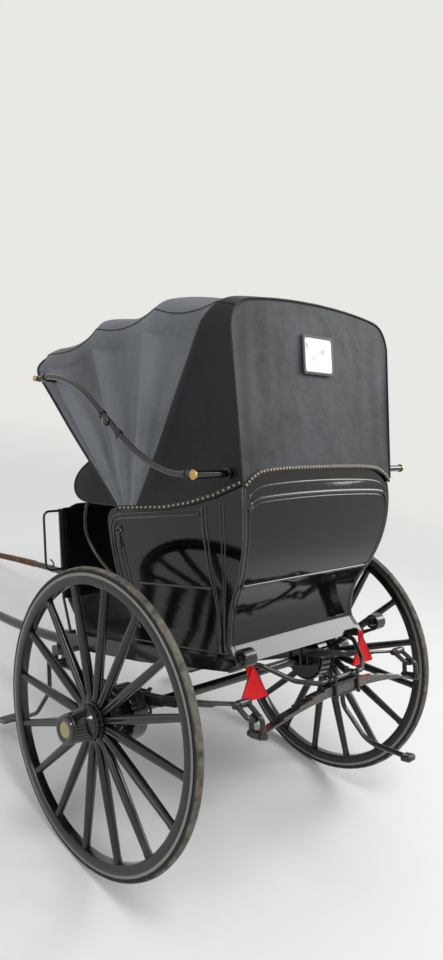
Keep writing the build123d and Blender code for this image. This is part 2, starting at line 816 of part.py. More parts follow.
def hood_stay():
    """Jointed iron stay outside the hood, from the front bow to the stub at the tail's corner."""
    front = (600, -530, 2045)
    rear = (655, 556, 1556)
    points = [front, (604, -340, 2045), (618, -60, 1890), (632, 110, 1740), (642, 300, 1632),
              (650, 460, 1566), rear]
    stay = rod(points, stay_r, [70, 120, 200, 260, 200])
    stay += Pos(622, 60, 1782) * Sphere(17)
    stay += bar_x(cover_side(front[2] + 12) + seat_gap, 618, front[1], front[2], 12)
    stay += bar_x(cover_side(rear[2] + 15) + seat_gap, 668, rear[1], rear[2], 15)
    return stay.solid()


def wing_flap():
    """Stiff rounded leather ear at the lower front of the hood."""
    edge = Vector(*hood_mouth[1]) - Vector(*hood_mouth[0])
    along = edge.normalized()
    out = Vector(-along.Y, along.X) * seat_gap
    low = Vector(*hood_mouth[0]) + along * 12 + out
    high = Vector(*hood_mouth[0]) + along * 290 + out
    points = [(low.X, low.Y), (-368, 1471), (-445, 1505), (-456, 1551), (-395, 1622), (high.X, high.Y)]
    return side_slab(polygon(points), hood_foot_half - cover_thick + 1, hood_foot_half + 1)


def rear_window():
    return block(-95, 95, hood_rear, hood_rear + 5, 1945, 2100)


def grab_rail():
    """Thin curved rail beside the seat's entry."""
    foot = (421, body_front, 1124)
    head = (486, -356, 1462)
    points = [head, (478, -372, 1350), (440, -284, 1182), (421, body_front - 36, 1126), foot]
    return rod(points, 6.0, [60, 60, 24])


def side_step():
    """Curved iron from the spring hanger down to a slotted tread ahead of the wheel."""
    x = side_spring_x + leaf_width / 2 + cheek_thick
    y = -side_spring_span
    points = [(x, y, side_eye_z + 28), (x + 34, y, side_eye_z + 28), (x + 36, y, 600),
              (x + 44, -700, 480), (x + 48, -905, 411)]
    iron = rod(points, iron_r, [24, 90, 90])
    tread = block(x - 10, x + 106, -1000, -900, 406, 416)
    for n in range(5):
        tread -= block(x + 2, x + 94, -988 + n * 18, -978 + n * 18, 400, 420)
    return (iron + tread).solid()


# Assembly, level

pieces = {}


def add_pair(name, shape):
    for side, piece in both_sides(shape).items():
        pieces[f"{name}_{side}"] = piece


for name, shape in [("tyre", tyre()), ("felloe", felloe()), ("spokes", spokes()), ("hub", hub()),
                    ("hub_cap", hub_cap()), ("brake_drum", brake_drum())]:
    add_pair(name, shape)

shell = body_shell()
pieces["axle"] = axle()
pieces["cross_spring"] = cross_spring()
pieces["cross_clip"] = cross_clip()
pieces["rear_iron"] = rear_iron()
pieces["rear_step"] = rear_step()
pieces["rear_bar"] = cross_bar(368, 422, rear_bar_low, body_bottom)
pieces["middle_bar"] = cross_bar(-130, -70, 800, body_bottom)
pieces["front_bar"] = cross_bar(-600, -540, 790, body_bottom)
pieces["splinter_bar"] = splinter_bar()
pieces["rear_panel"] = rear_panel(shell)
pieces["floor_board"] = floor_board()
pieces["footboard"] = footboard()
pieces["dash"] = dash()
pieces["seat_box"] = seat_box()
pieces["seat_cushion"] = seat_cushion()
pieces["back_cushion"] = back_cushion()
pieces["hood_cover"] = hood_cover()
pieces["hood_bows"] = hood_bows()
pieces["rear_window"] = rear_window()

for name, shape in [("backplate", backplate()), ("side_spring", side_spring()),
                    ("axle_clip", axle_clip()), ("spring_hanger", spring_hanger()),
                    ("shackle", shackle()), ("shaft", shaft()), ("rear_scroll", rear_scroll()),
                    ("reflector", reflector()), ("side_panel", side_panel(shell)),
                    ("dash_iron", dash_iron()), ("hood_stay", hood_stay()),
                    ("wing_flap", wing_flap()), ("grab_rail", grab_rail()),
                    ("side_step", side_step())]:
    add_pair(name, shape)

# Parking: tipped about the axle until the shaft tips touch the ground

_, tip_y, tip_z, tip_r = shaft_route[-1]
tip_reach = math.hypot(tip_y, tip_z - wheel_r)
tip_rise = math.atan2(tip_z - wheel_r, -tip_y)
park_angle = math.degrees(tip_rise + math.asin((wheel_r - tip_r) / tip_reach))
parked = {name: piece.rotate(axle_line, park_angle) for name, piece in pieces.items()}
boxes = [piece.bounding_box() for piece in parked.values()]
middle_y = (min(b.min.Y for b in boxes) + max(b.max.Y for b in boxes)) / 2

for name, piece in parked.items():
    export_step(Pos(0, -middle_y, 0) * piece, f"parts/{name}.step")

print("park angle", round(park_angle, 4), "axle at Y", round(-middle_y, 3), "Z", wheel_r)
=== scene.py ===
import bmesh
import bpy
import math
import numpy as np
from mathutils import Matrix, Vector
from mathutils.kdtree import KDTree


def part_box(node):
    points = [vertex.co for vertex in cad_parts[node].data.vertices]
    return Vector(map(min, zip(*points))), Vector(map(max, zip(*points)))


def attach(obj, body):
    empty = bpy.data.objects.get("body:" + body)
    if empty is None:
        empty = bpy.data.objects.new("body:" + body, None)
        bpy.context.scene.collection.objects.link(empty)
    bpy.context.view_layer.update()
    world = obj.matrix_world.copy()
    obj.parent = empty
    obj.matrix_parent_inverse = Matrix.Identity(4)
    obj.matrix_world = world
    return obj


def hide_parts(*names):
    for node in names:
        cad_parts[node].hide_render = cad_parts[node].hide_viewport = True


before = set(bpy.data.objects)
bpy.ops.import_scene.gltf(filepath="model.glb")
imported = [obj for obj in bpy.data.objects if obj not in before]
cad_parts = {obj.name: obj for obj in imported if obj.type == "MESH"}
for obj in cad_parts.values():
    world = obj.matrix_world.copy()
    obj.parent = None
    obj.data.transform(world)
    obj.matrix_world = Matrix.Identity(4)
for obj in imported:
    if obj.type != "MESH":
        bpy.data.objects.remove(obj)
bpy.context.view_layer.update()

# Tyres: solid rubber cast as a ring and sprung into a steel channel shrunk on the wheel's rim.
# The tread has gone tan-grey with dry dust, and its walls stay darker. The gig is measured level,
# in metres, and tipped about its axle on to its shaft tips to park.
scene = bpy.context.scene
tip_angle = math.radians(21.1652)
axle_low, axle_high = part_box("axle")
axle_y = (axle_low.y + axle_high.y) / 2
axle_z = 0.610
wheel_x = 0.742
sides = (("left", 1), ("right", -1))


def tipped(points):
    """Level places turned about the axle by the parking angle and moved to the axle's parked place."""
    p = np.asarray(points, float)
    y, z = p[..., 1], p[..., 2] - axle_z
    c, s = math.cos(tip_angle), math.sin(tip_angle)
    return np.stack([p[..., 0], y * c - z * s + axle_y, y * s + z * c + axle_z], -1)


def settle(work, mesh, crease):
    """Writes a bmesh to a mesh, shaded smooth but at edges that bend more than crease degrees."""
    work.to_mesh(mesh)
    work.free()
    mesh.shade_smooth()
    mesh.set_sharp_from_angle(angle=math.radians(crease))


def grid_mesh(name, grids, crease):
    """A mesh from grids of level points. Each grid is (points, rows join up, columns join up);
    neighbouring rows and columns make quads, and rows drawn to one point close an end."""
    points, quads, start = [], [], 0
    for rows, join_rows, join_columns in grids:
        count = np.arange(rows.shape[0] * rows.shape[1]).reshape(rows.shape[:2]) + start
        count = np.vstack([count, count[:1]]) if join_rows else count
        count = np.hstack([count, count[:, :1]]) if join_columns else count
        corners = [count[:-1, :-1], count[:-1, 1:], count[1:, 1:], count[1:, :-1]]
        quads.append(np.stack(corners, -1).reshape(-1, 4))
        points.append(tipped(rows).reshape(-1, 3))
        start += rows.shape[0] * rows.shape[1]
    mesh = bpy.data.meshes.new(name)
    mesh.from_pydata(np.vstack(points).tolist(), [], np.vstack(quads).tolist())
    work = bmesh.new()
    work.from_mesh(mesh)
    bmesh.ops.remove_doubles(work, verts=work.verts, dist=1e-6)
    bmesh.ops.dissolve_degenerate(work, edges=work.edges, dist=1e-7)
    bmesh.ops.recalc_face_normals(work, faces=work.faces)
    settle(work, mesh, crease)
    return mesh


def placed(name, data, finish=None):
    """A new object in the scene for a mesh, a lamp or a lens, in its material if it has one."""
    thing = bpy.data.objects.new(name, data)
    scene.collection.objects.link(thing)
    if finish:
        data.materials.append(finish)
    return thing


def mounted(piece, body, replaces):
    """The piece rides on a body and stands for the CAD nodes named."""
    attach(piece, body)
    if replaces:
        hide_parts(*replaces)
    return piece


def add_piece(name, grids, finish, replaces=(), crease=40.0, body="carriage"):
    """A piece made from grids, in its material, mounted on its body."""
    return mounted(placed(name, grid_mesh(name, grids, crease), finish), body, replaces)


def turned(profile, segments, hand, closed=False):
    """A profile of (distance out from the wheel's middle, radius) carried round the axle. A closed
    profile joins up; an open one ends on the axle or against another piece."""
    a = np.linspace(0, 2 * math.pi, segments, endpoint=False)[:, None]
    x, r = np.asarray(profile, float).T
    ring = [np.broadcast_to(hand * (x + wheel_x), (segments, len(x))), r * np.sin(a), axle_z + r * np.cos(a)]
    return np.stack(ring, -1), True, closed


def arc(centre_x, centre_r, radius, start, end, count):
    """Points of a circle in a profile, from a start to an end angle in degrees."""
    a = np.radians(np.linspace(start, end, count))
    return np.column_stack([centre_x + radius * np.cos(a), centre_r + radius * np.sin(a)])


def both_halves(half):
    """Half an outline and then its mirror image. A last point on the middle line isn't repeated."""
    half = np.asarray(half, float)
    return np.vstack([half, half[::-1][int(half[-1, 0] == 0):] * [-1, 1]])


def places_of(mesh):
    """Where a mesh's vertices are, one row each."""
    spots = np.zeros(len(mesh.vertices) * 3)
    mesh.vertices.foreach_get("co", spots)
    return spots.reshape(-1, 3)


def mark(mesh, name, values):
    """Gives each vertex a number, which the material reads by its name."""
    marks = mesh.attributes.new(name, "FLOAT", "POINT")
    marks.data.foreach_set("value", np.asarray(values, np.float32))


def linear(colour):
    """An sRGB hex colour as linear red, green, blue and alpha."""
    parts = [int(colour[k:k + 2], 16) / 255 for k in (1, 3, 5)]
    return [c / 12.92 if c <= 0.04045 else ((c + 0.055) / 1.055) ** 2.4 for c in parts] + [1.0]


def per_metre(size_mm):
    """A pattern's scale from the size of its marks in millimetres."""
    return 1000 / size_mm


def wire(node, inputs):
    """Sets a node's inputs to values, or links them from (node, output name)."""
    for key, value in inputs.items():
        if isinstance(value, tuple) and isinstance(value[0], bpy.types.Node):
            node.id_data.links.new(value[0].outputs[value[1]], node.inputs[key])
        else:
            node.inputs[key].default_value = value


def add(tree, kind, inputs=None, **settings):
    """Adds a shader node with its settings and then its inputs."""
    node = tree.nodes.new(kind)
    for key, value in settings.items():
        setattr(node, key, value)
    wire(node, inputs or {})
    return node


def new_finish(name):
    """A new material, its tree and shader, and the object's own coordinates for its patterns."""
    finish = bpy.data.materials.new(name)
    finish.use_nodes = True
    tree = finish.node_tree
    return finish, tree, tree.nodes["Principled BSDF"], add(tree, "ShaderNodeTexCoord")


def stops(node, *places):
    """Sets a colour ramp's stops from (position, hex colour) pairs."""
    ramp = node.color_ramp
    while len(ramp.elements) < len(places):
        ramp.elements.new(0.5)
    for stop, (position, colour) in zip(ramp.elements, places):
        stop.position = position
        stop.color = linear(colour)
    return node


# Cast rubber looks matt and near black. Dust clings to it in patches and pales it where it rolls.
# Its grit is drawn about 1 mm wide, coarser than it is, to break up the light.
rubber, tree, shader, place = new_finish("road-dusted solid rubber")
dust = add(tree, "ShaderNodeTexNoise", {"Vector": (place, "Object"), "Scale": per_metre(38.5),
                                        "Detail": 8.0, "Roughness": 0.62})
tread = add(tree, "ShaderNodeAttribute", attribute_name="tread")
worn = add(tree, "ShaderNodeMath", {0: (tread, "Fac"), 1: (dust, "Fac"), 2: -0.22}, operation="MULTIPLY_ADD")
tint = stops(add(tree, "ShaderNodeValToRGB", {"Fac": (worn, "Value")}),
             (0.0, "#1C1B1A"), (0.12, "#35332F"), (0.3, "#645F55"), (0.55, "#857E71"))
grit = add(tree, "ShaderNodeTexNoise", {"Vector": (place, "Object"), "Scale": per_metre(1.11), "Detail": 3.0})
lumps = add(tree, "ShaderNodeBump", {"Height": (grit, "Fac"), "Strength": 0.35, "Distance": 0.0006})
wire(shader, {"Base Color": (tint, "Color"), "Normal": (lumps, "Normal"), "Roughness": 0.86})

half_tyre, tyre_foot, tyre_top = 0.017, 0.5800, 0.6100
wall_bulge, wall_r = 0.0006, 0.590
shoulder_in, shoulder_down, shoulder_r = 0.0075, 0.0105, 0.0080
dusty_from, dusty_over = 0.594, 0.010
tyre_edge = both_halves(np.vstack([
    [(half_tyre, tyre_foot), (half_tyre + wall_bulge, wall_r)],
    arc(half_tyre - shoulder_in, tyre_top - shoulder_down, shoulder_r, 2, 80, 4), [(0.0, tyre_top)]]))
for side, hand in sides:
    tyre = add_piece(f"rubber_tyre_{side}", [turned(tyre_edge, 88, hand, True)], rubber,
                     [f"tyre_{side}"], body=f"wheel_{side}")
    _, y, z = places_of(tyre.data).T
    reach = np.hypot(y - axle_y, z - axle_z)
    mark(tyre.data, "tread", np.clip((reach - dusty_from) / dusty_over, 0, 1))


# Felloes: bent ash rims painted gloss black, their edges bevelled towards the spokes. Outside each
# is a steel channel, shrunk on and rubbed bright along its two lips.
def painted(name, colour, dirt, amount, roughness, patches=111.0, coat=0.6):
    """Gloss coach paint gives deep black with sharp lights. Over it lies a thin film of dust, in
    patches of a size in mm and specks of 2.4 mm, and brushing leaves waves 18 mm long."""
    finish, tree, shader, place = new_finish(name)
    film = add(tree, "ShaderNodeTexNoise", {"Vector": (place, "Object"), "Scale": per_metre(patches),
                                            "Detail": 9.0, "Roughness": 0.66})
    specks = add(tree, "ShaderNodeTexNoise", {"Vector": (place, "Object"), "Scale": per_metre(2.38),
                                              "Detail": 2.0})
    both = add(tree, "ShaderNodeMath", {0: (film, "Fac"), 1: (specks, "Fac")}, operation="MULTIPLY")
    mask = add(tree, "ShaderNodeMapRange", {"Value": (both, "Value"), "From Min": 0.22, "From Max": 0.5,
                                            "To Max": amount})
    tint = add(tree, "ShaderNodeMix", {"Factor": (mask, "Result"), "A": linear(colour), "B": linear(dirt)},
               data_type="RGBA")
    gloss = add(tree, "ShaderNodeMapRange", {"Value": (mask, "Result"), "To Min": roughness,
                                             "To Max": roughness + 0.55})
    waves = add(tree, "ShaderNodeTexNoise", {"Vector": (place, "Object"), "Scale": per_metre(18.2),
                                             "Detail": 2.0})
    skin = add(tree, "ShaderNodeBump", {"Height": (waves, "Fac"), "Strength": 0.08, "Distance": 0.002})
    wire(shader, {"Base Color": (tint, "Result"), "Roughness": (gloss, "Result"), "Normal": (skin, "Normal"),
                  "Specular IOR Level": 0.38, "Coat Weight": coat, "Coat Roughness": 0.06})
    return finish


def bare_metal(name, colour, roughness, marks):
    """Worn bare metal keeps its colour in its lights, which dull spots of a size in mm break up."""
    finish, tree, shader, place = new_finish(name)
    spots = add(tree, "ShaderNodeTexNoise", {"Vector": (place, "Object"), "Scale": per_metre(marks),
                                             "Detail": 6.0})
    dull = add(tree, "ShaderNodeMapRange", {"Value": (spots, "Fac"), "From Min": 0.3, "From Max": 0.7,
                                            "To Min": roughness * 0.7, "To Max": roughness * 1.5})
    wire(shader, {"Base Color": linear(colour), "Metallic": 1.0, "Roughness": (dull, "Result")})
    return finish


wheel_paint = painted("black wheel enamel", "#090909", "#5E574C", 0.30, 0.15, coat=0.3)
rim_steel = bare_metal("rubbed steel channel", "#8C8B88", 0.34, 6.25)
rim_edge = both_halves([(0.0150, 0.5378), (0.0185, 0.5388), (0.0218, 0.5421), (0.0230, 0.5458),
                        (0.0230, 0.5730), (0.0222, 0.5752)])
channel_edge = both_halves([(0.0213, 0.5752), (0.0213, 0.5858), (0.0206, 0.5869), (0.0180, 0.5869),
                            (0.0173, 0.5862), (0.0173, 0.5797)])
for side, hand in sides:
    add_piece(f"felloe_rim_{side}", [turned(rim_edge, 128, hand, True)], wheel_paint,
              [f"felloe_{side}"], 24, f"wheel_{side}")
    add_piece(f"felloe_channel_{side}", [turned(channel_edge, 128, hand, True)], rim_steel,
              (), 30, f"wheel_{side}")

# Spokes: sixteen turned and shaved ash spokes a wheel, wedged together between the nave's flanges,
# slim at the throat, fullest a third of the way out and round where they enter the felloe.
spoke_count = 16
# columns: radius, half along the axle, half across, squareness
spoke_form = np.array([
    (0.0570, 0.0000, 0.0000, 2.0), (0.0571, 0.0198, 0.0108, 7.0), (0.0800, 0.0198, 0.0150, 7.0),
    (0.0900, 0.0194, 0.0160, 4.0), (0.1120, 0.0188, 0.0162, 2.4), (0.1500, 0.0204, 0.0182, 2.1),
    (0.2200, 0.0210, 0.0192, 2.0), (0.3200, 0.0198, 0.0184, 2.0), (0.4400, 0.0174, 0.0168, 2.0),
    (0.5120, 0.0160, 0.0158, 2.0), (0.5280, 0.0176, 0.0172, 2.0), (0.5390, 0.0170, 0.0166, 2.0)])


def spoke_grid(turn, hand):
    """A spoke as rounded sections up its length. Each is cosine and sine to the power 2 / squareness,
    times its two half sizes, and turn is the spoke's angle from upright."""
    r, along, across, power = (column[:, None] for column in spoke_form.T)
    a = np.linspace(0, 2 * math.pi, 16, endpoint=False)[None]
    x, y = (half * np.sign(wave) * np.abs(wave) ** (2 / power)
            for half, wave in ((along, np.cos(a)), (across, np.sin(a))))
    s, c = math.sin(turn), math.cos(turn)
    return np.stack([hand * (x + wheel_x), y * c + r * s, r * c - y * s + axle_z], -1), False, True


for side, hand in sides:
    turns = np.radians((np.arange(spoke_count) + 0.5) * 360 / spoke_count)
    add_piece(f"turned_spokes_{side}", [spoke_grid(t, hand) for t in turns], wheel_paint,
              [f"spokes_{side}"], 35, f"wheel_{side}")

# Naves: an iron barrel between two flanges that squeeze the spoke feet, held by sixteen bolts
# whose heads and nuts stand round the flanges. A long screwed cap covers each axle end.
hub_paint = painted("black nave enamel", "#0A0A0B", "#57524A", 0.26, 0.13)
brass = bare_metal("hand-polished brass", "#C2A266", 0.26, 4.17)
cap_disc = bare_metal("aged pale brass", "#B0A184", 0.5, 2.63)


def turned_heads(centres, way, form, count, start):
    """A small turned head at each centre, standing along way. form is its (radius, height) profile,
    and its first corner lies square to way and start."""
    d = np.asarray(way, float) / np.linalg.norm(way)
    side = np.cross(d, start)
    side = side / np.linalg.norm(side)
    other = np.cross(d, side)
    a = np.linspace(0, 2 * math.pi, count, endpoint=False)
    ring = np.cos(a)[:, None] * side + np.sin(a)[:, None] * other
    return [(np.stack([np.asarray(spot) + d * h + ring * r for r, h in form]), False, True)
            for spot in centres]


def studs(centres, way, radius, height):
    """Six-sided bolt heads or nuts with a small top bevel."""
    form = [(0.0, 0.0), (radius, 0.0), (radius, height * 0.78), (radius * 0.8, height), (0.0, height)]
    return turned_heads(centres, way, form, 6, (0.32, 0.61, 0.72))


def bolt_circle(hand, face, out, circle, count, first, radius, height):
    """Bolt heads evenly round the axle from a first angle, on a face that looks out or in."""
    a = np.radians(first + np.arange(count) * 360 / count)
    spots = np.stack([0 * a + hand * (wheel_x + face), circle * np.sin(a), axle_z + circle * np.cos(a)], -1)
    return studs(spots, (hand * out, 0, 0), radius, height)


flange_face, drum_front = 0.0284, -0.1022
barrel = [
    (-0.1015, 0.0203), (-0.1015, 0.0560), (-0.0990, 0.0578), (-flange_face, 0.0580), (-flange_face, 0.0808),
    (-0.0272, 0.0820), (-0.0216, 0.0820), (-0.0204, 0.0808), (-0.0204, 0.0570), (0.0204, 0.0570),
    (0.0204, 0.0808), (0.0216, 0.0820), (0.0272, 0.0820), (flange_face, 0.0808), (flange_face, 0.0580),
    (0.0625, 0.0578), (0.0625, 0.0203)]
cap_form = [
    (0.0287, 0.0590), (0.0287, 0.0680), (0.0297, 0.0692), (0.0400, 0.0692), (0.0412, 0.0682),
    (0.0440, 0.0668), (0.0500, 0.0674), (0.0520, 0.0664), (0.0545, 0.0648), (0.1180, 0.0580),
    (0.1225, 0.0582), (0.1245, 0.0592), (0.1290, 0.0594), (0.1305, 0.0584), (0.1325, 0.0556),
    (0.1445, 0.0548), (0.1475, 0.0530), (0.1480, 0.0505), (0.1480, 0.0350), (0.1466, 0.0325),
    (0.1440, 0.0318), (0.1440, 0.0000)]
disc_form = [(0.1438, 0.0314), (0.1452, 0.0312), (0.1455, 0.0290), (0.1450, 0.0276), (0.1452, 0.0100),
             (0.1458, 0.0000)]
drum_form = [
    (drum_front, 0.0580), (drum_front, 0.1090), (-0.1035, 0.1120), (-0.1060, 0.1148), (-0.1200, 0.1150),
    (-0.1215, 0.1140), (-0.1400, 0.1140), (-0.1415, 0.1150), (-0.1745, 0.1150), (-0.1758, 0.1140),
    (-0.1758, 0.1092), (-0.1085, 0.1092), (-0.1080, 0.0580)]
# columns: radius of the bolt circle, bolts, first angle in degrees, a head's radius and height
nave_bolts, drum_bolts = (0.0695, spoke_count, 0, 0.0062, 0.0056), (0.088, 6, 20, 0.008, 0.006)
for side, hand in sides:
    nave, drum = [turned(barrel, 72, hand, True)], [turned(drum_form, 80, hand, True)]
    for out in (1, -1):
        nave += bolt_circle(hand, out * flange_face, out, *nave_bolts)
    drum += bolt_circle(hand, drum_front, 1, *drum_bolts)
    for name, grids, finish, replaced, crease in (
            ("nave", nave, hub_paint, [f"hub_{side}"], 32),
            ("long_cap", [turned(cap_form, 72, hand)], hub_paint, [f"hub_cap_{side}"], 30),
            ("cap_disc", [turned(disc_form, 48, hand)], cap_disc, (), 30),
            ("drum", drum, hub_paint, [f"brake_drum_{side}"], 32)):
        add_piece(f"{name}_{side}", grids, finish, replaced, crease, f"wheel_{side}")

# Axle, springs and their irons: forged and filed iron under black paint, every edge a little
# rounded. The springs are stacks of tempered leaves, and nuts close the clips, eyes and shackles.
iron_paint = painted("black forged iron", "#0C0C0D", "#6A6256", 0.4, 0.22, 71.4, 0.4)
spring_paint = painted("painted spring leaves", "#101012", "#7A7164", 0.5, 0.18, 45.5, 0.7)


def eased(node, finish, width=0.0010):
    """A copy of a CAD piece, merged, its flat faces made whole and its edges rounded by a bevel."""
    work = bmesh.new()
    work.from_mesh(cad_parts[node].data)
    bmesh.ops.remove_doubles(work, verts=work.verts, dist=2e-5)
    bmesh.ops.dissolve_limit(work, angle_limit=math.radians(0.6), verts=work.verts, edges=work.edges)
    mesh = bpy.data.meshes.new(f"{node}_eased")
    settle(work, mesh, 35)
    piece = placed(f"{node}_eased", mesh, finish)
    rounding = piece.modifiers.new("filed edges", "BEVEL")
    rounding.width = width
    rounding.segments = 2
    rounding.limit_method = "ANGLE"
    rounding.angle_limit = math.radians(35)
    rounding.harden_normals = True
    return mounted(piece, "carriage", [node])


eased("axle", iron_paint)
eased("cross_spring", spring_paint, 0.0009)
eased("cross_clip", iron_paint, 0.0014)
for side, hand in sides:
    eased(f"side_spring_{side}", spring_paint, 0.0009)
    for node in ("backplate", "axle_clip", "spring_hanger"):
        eased(f"{node}_{side}", iron_paint, 0.0014)
# where the side springs and their eyes lie, where the cross spring ends, and what the nuts stand on
spring_x, eye_y, eye_z = 0.516, 0.590, 0.7207
cross_x, cross_y, cross_z = 0.510, 0.655, 0.619
cheek, link_nut = 0.026, 0.0365
clip_x, clip_y, clip_top, clip_foot = 0.0265, 0.034, 0.6808, 0.5800
cross_clip_x, cross_clip_top, cross_clip_foot = 0.073, 0.7377, 0.6578
# a nut's radius and height
clip_nut, pin_nut = (0.0105, 0.0085), (0.0130, 0.0075)
cross_nut, cross_foot_nut = (0.0100, 0.0070), (0.0100, 0.0080)
nuts = []
for hand in (1, -1):
    corners = [(hand * spring_x + sx * clip_x, sy * clip_y) for sx in (1, -1) for sy in (1, -1)]
    nuts += studs([(x, y, clip_top) for x, y in corners], (0, 0, 1), *clip_nut)
    nuts += studs([(x, y, clip_foot) for x, y in corners], (0, 0, -1), *clip_nut)
    for out in (1, -1):
        pins = [(hand * spring_x + out * stand, y, eye_z)
                for y, stand in ((eye_y, link_nut), (-eye_y, cheek))]
        nuts += studs(pins, (out, 0, 0), *pin_nut)
        nuts += studs([(hand * cross_x, cross_y + out * link_nut, cross_z)], (0, out, 0), *pin_nut)
    ends = [(hand * cross_clip_x, cross_y + out * clip_x) for out in (1, -1)]
    nuts += studs([(x, y, cross_clip_top) for x, y in ends], (0, 0, 1), *cross_nut)
    nuts += studs([(x, y, cross_clip_foot) for x, y in ends], (0, 0, -1), *cross_foot_nut)
add_piece("spring_nuts", nuts, iron_paint, (), 25)

# Under-frame: ash shafts and bars in gloss black, the shafts running forward into tapered poles
# whose front lengths are wrapped in sewn brown leather. The irons are bent round bar.
shaft_black = painted("black shaft enamel", "#0B0B0C", "#6B6356", 0.3, 0.18)
for node in ("rear_bar", "middle_bar", "front_bar", "splinter_bar"):
    eased(node, shaft_black, 0.0025)
for node in ("rear_iron", "rear_step"):
    eased(node, iron_paint, 0.0012)
for side, hand in sides:
    eased(f"shaft_{side}", shaft_black, 0.0030)
    for node in ("side_step", "dash_iron"):
        eased(f"{node}_{side}", iron_paint, 0.0012)

# Leaf edges: the springs' leaves are tempered steel strips stacked longest first. The lower corners
# of each are rubbed bright, where grit works between it and the next.
leaf_parts = (1.0, 0.76, 0.58, 0.42, 0.27)
leaf_thick, leaf_half, camber, edge_r = 0.0073, 0.020, 0.052, 0.0010
first_lift, short_of_end = 0.0035, 0.985


def capped(rows):
    """The rows with the middle of the first and of the last set beyond them, which closes the ends."""
    first, last = (np.broadcast_to(row.mean(0), row.shape)[None] for row in (rows[0], rows[-1]))
    return np.vstack([first, rows, last])


def tube(path, radius, count=12, closed=False):
    """A round section carried along a path. Its sideways directions are each carried from the point
    before, so that it doesn't twist. Its ends close unless it is a loop."""
    path = np.asarray(path, float)
    radius = np.broadcast_to(np.asarray(radius, float), (len(path),))[:, None, None]
    tangent = np.gradient(path, axis=0)
    tangent /= np.linalg.norm(tangent, axis=1)[:, None]
    across = [np.cross(tangent[0], np.eye(3)[np.argmin(np.abs(tangent[0]))])]
    for t in tangent[1:]:
        across.append(across[-1] - t * (across[-1] @ t))
        across[-1] = across[-1] / np.linalg.norm(across[-1])
    across[0] = across[0] / np.linalg.norm(across[0])
    across = np.array(across)
    up = np.cross(tangent, across)
    a = np.linspace(0, 2 * math.pi, count, endpoint=False)[None, :, None]
    rows = path[:, None] + radius * (across[:, None] * np.cos(a) + up[:, None] * np.sin(a))
    return (rows if closed else capped(rows)), closed, True


def at_x(line, x):
    """A flat line of (y, z) stood up at a given x."""
    return np.column_stack([0 * line[:, 0] + x, line])


def at_y(line, y):
    """A flat line of (x, z) stood up at a given y."""
    return np.column_stack([line[:, 0], 0 * line[:, 0] + y, line[:, 1]])


def leaf_lines(span):
    """Each leaf's lower corner as an (along, rise) arc from the spring's middle. The spring's own
    radius comes from its half span and camber, and grows by a leaf's thickness each time."""
    bend = (span ** 2 + camber ** 2) / (2 * camber)
    lines = []
    for n, part in enumerate(leaf_parts):
        radius = bend - first_lift + leaf_thick * n
        turn = np.linspace(-1, 1, 36) * math.asin(span * part * short_of_end / radius)
        lines.append(np.stack([radius * np.sin(turn), bend - radius * np.cos(turn)], -1))
    return lines


worn_edge = bare_metal("rubbed spring steel", "#8B8781", 0.36, 5.0)
rubbed = []
for line in leaf_lines(cross_x):
    line = line * [1, -1] + [0, cross_z + camber]
    rubbed += [tube(at_y(line, cross_y + out * leaf_half), edge_r, 5) for out in (-1, 1)]
for line in leaf_lines(eye_y):
    line = line + [0, eye_z - camber]
    rubbed += [tube(at_x(line, hand * (spring_x + out * leaf_half)), edge_r, 5) for hand in (1, -1)
               for out in (-1, 1)]
add_piece("leaf_edges", rubbed, worn_edge)


# Grab rails: thin round iron rails beside the entry, bent in one easy bow from the elbow to the
# sill, and painted black like the other irons.
def softened(path, times=3):
    """Corners cut at a quarter and three quarters of each run, again and again, ends kept."""
    path = np.asarray(path, float)
    for _ in range(times):
        cut = np.stack([path[:-1] * 0.75 + path[1:] * 0.25, path[:-1] * 0.25 + path[1:] * 0.75], 1)
        path = np.vstack([path[:1], cut.reshape(-1, path.shape[1]), path[-1:]])
    return path


grab_line = [(0.486, -0.356, 1.462), (0.4855, -0.380, 1.400), (0.474, -0.392, 1.320), (0.456, -0.345, 1.225),
             (0.436, -0.278, 1.155), (0.421, -0.246, 1.1245), (0.421, -0.2105, 1.124)]
for side, hand in sides:
    rail = tube(softened(grab_line) * [hand, 1, 1], 0.0065, 14)
    add_piece(f"bowed_rail_{side}", [rail], iron_paint, [f"grab_rail_{side}"], 35)

# Shackles: pairs of D links forged from round bar, with eyes round the spring pins. One hangs from
# each side spring and one stands on each end of the cross spring, each bow hooked in the other.
link_half, link_r, pin_r, pin_over, eye_swell = 0.0275, 0.0102, 0.0074, 0.012, 1.45
hanging_tip, standing_tip = 0.6745, 0.6905


def travelled(path):
    """How far along a path each of its points is."""
    return np.concatenate([[0], np.cumsum(np.linalg.norm(np.diff(path, axis=0), axis=1))])


def places_at(path, at):
    """The places on a path at given distances along it."""
    return np.stack([np.interp(at, travelled(path), column) for column in path.T], -1)


def dense(path, step):
    """The same path with points no further apart than a step."""
    path = np.asarray(path, float)
    whole = travelled(path)[-1]
    return places_at(path, np.linspace(0, whole, max(3, int(whole / step) + 1)))


def ball(centre, radius, count=14):
    """A small sphere: the sines and cosines of an angle down from its top and one round it."""
    a = np.linspace(0, math.pi, 9)[:, None, None]
    b = np.linspace(0, 2 * math.pi, count, endpoint=False)[None, :, None]
    spot = np.concatenate([np.sin(a) * np.cos(b), np.sin(a) * np.sin(b), np.cos(a) + 0 * b], -1)
    return np.asarray(centre, float) + radius * spot, False, True


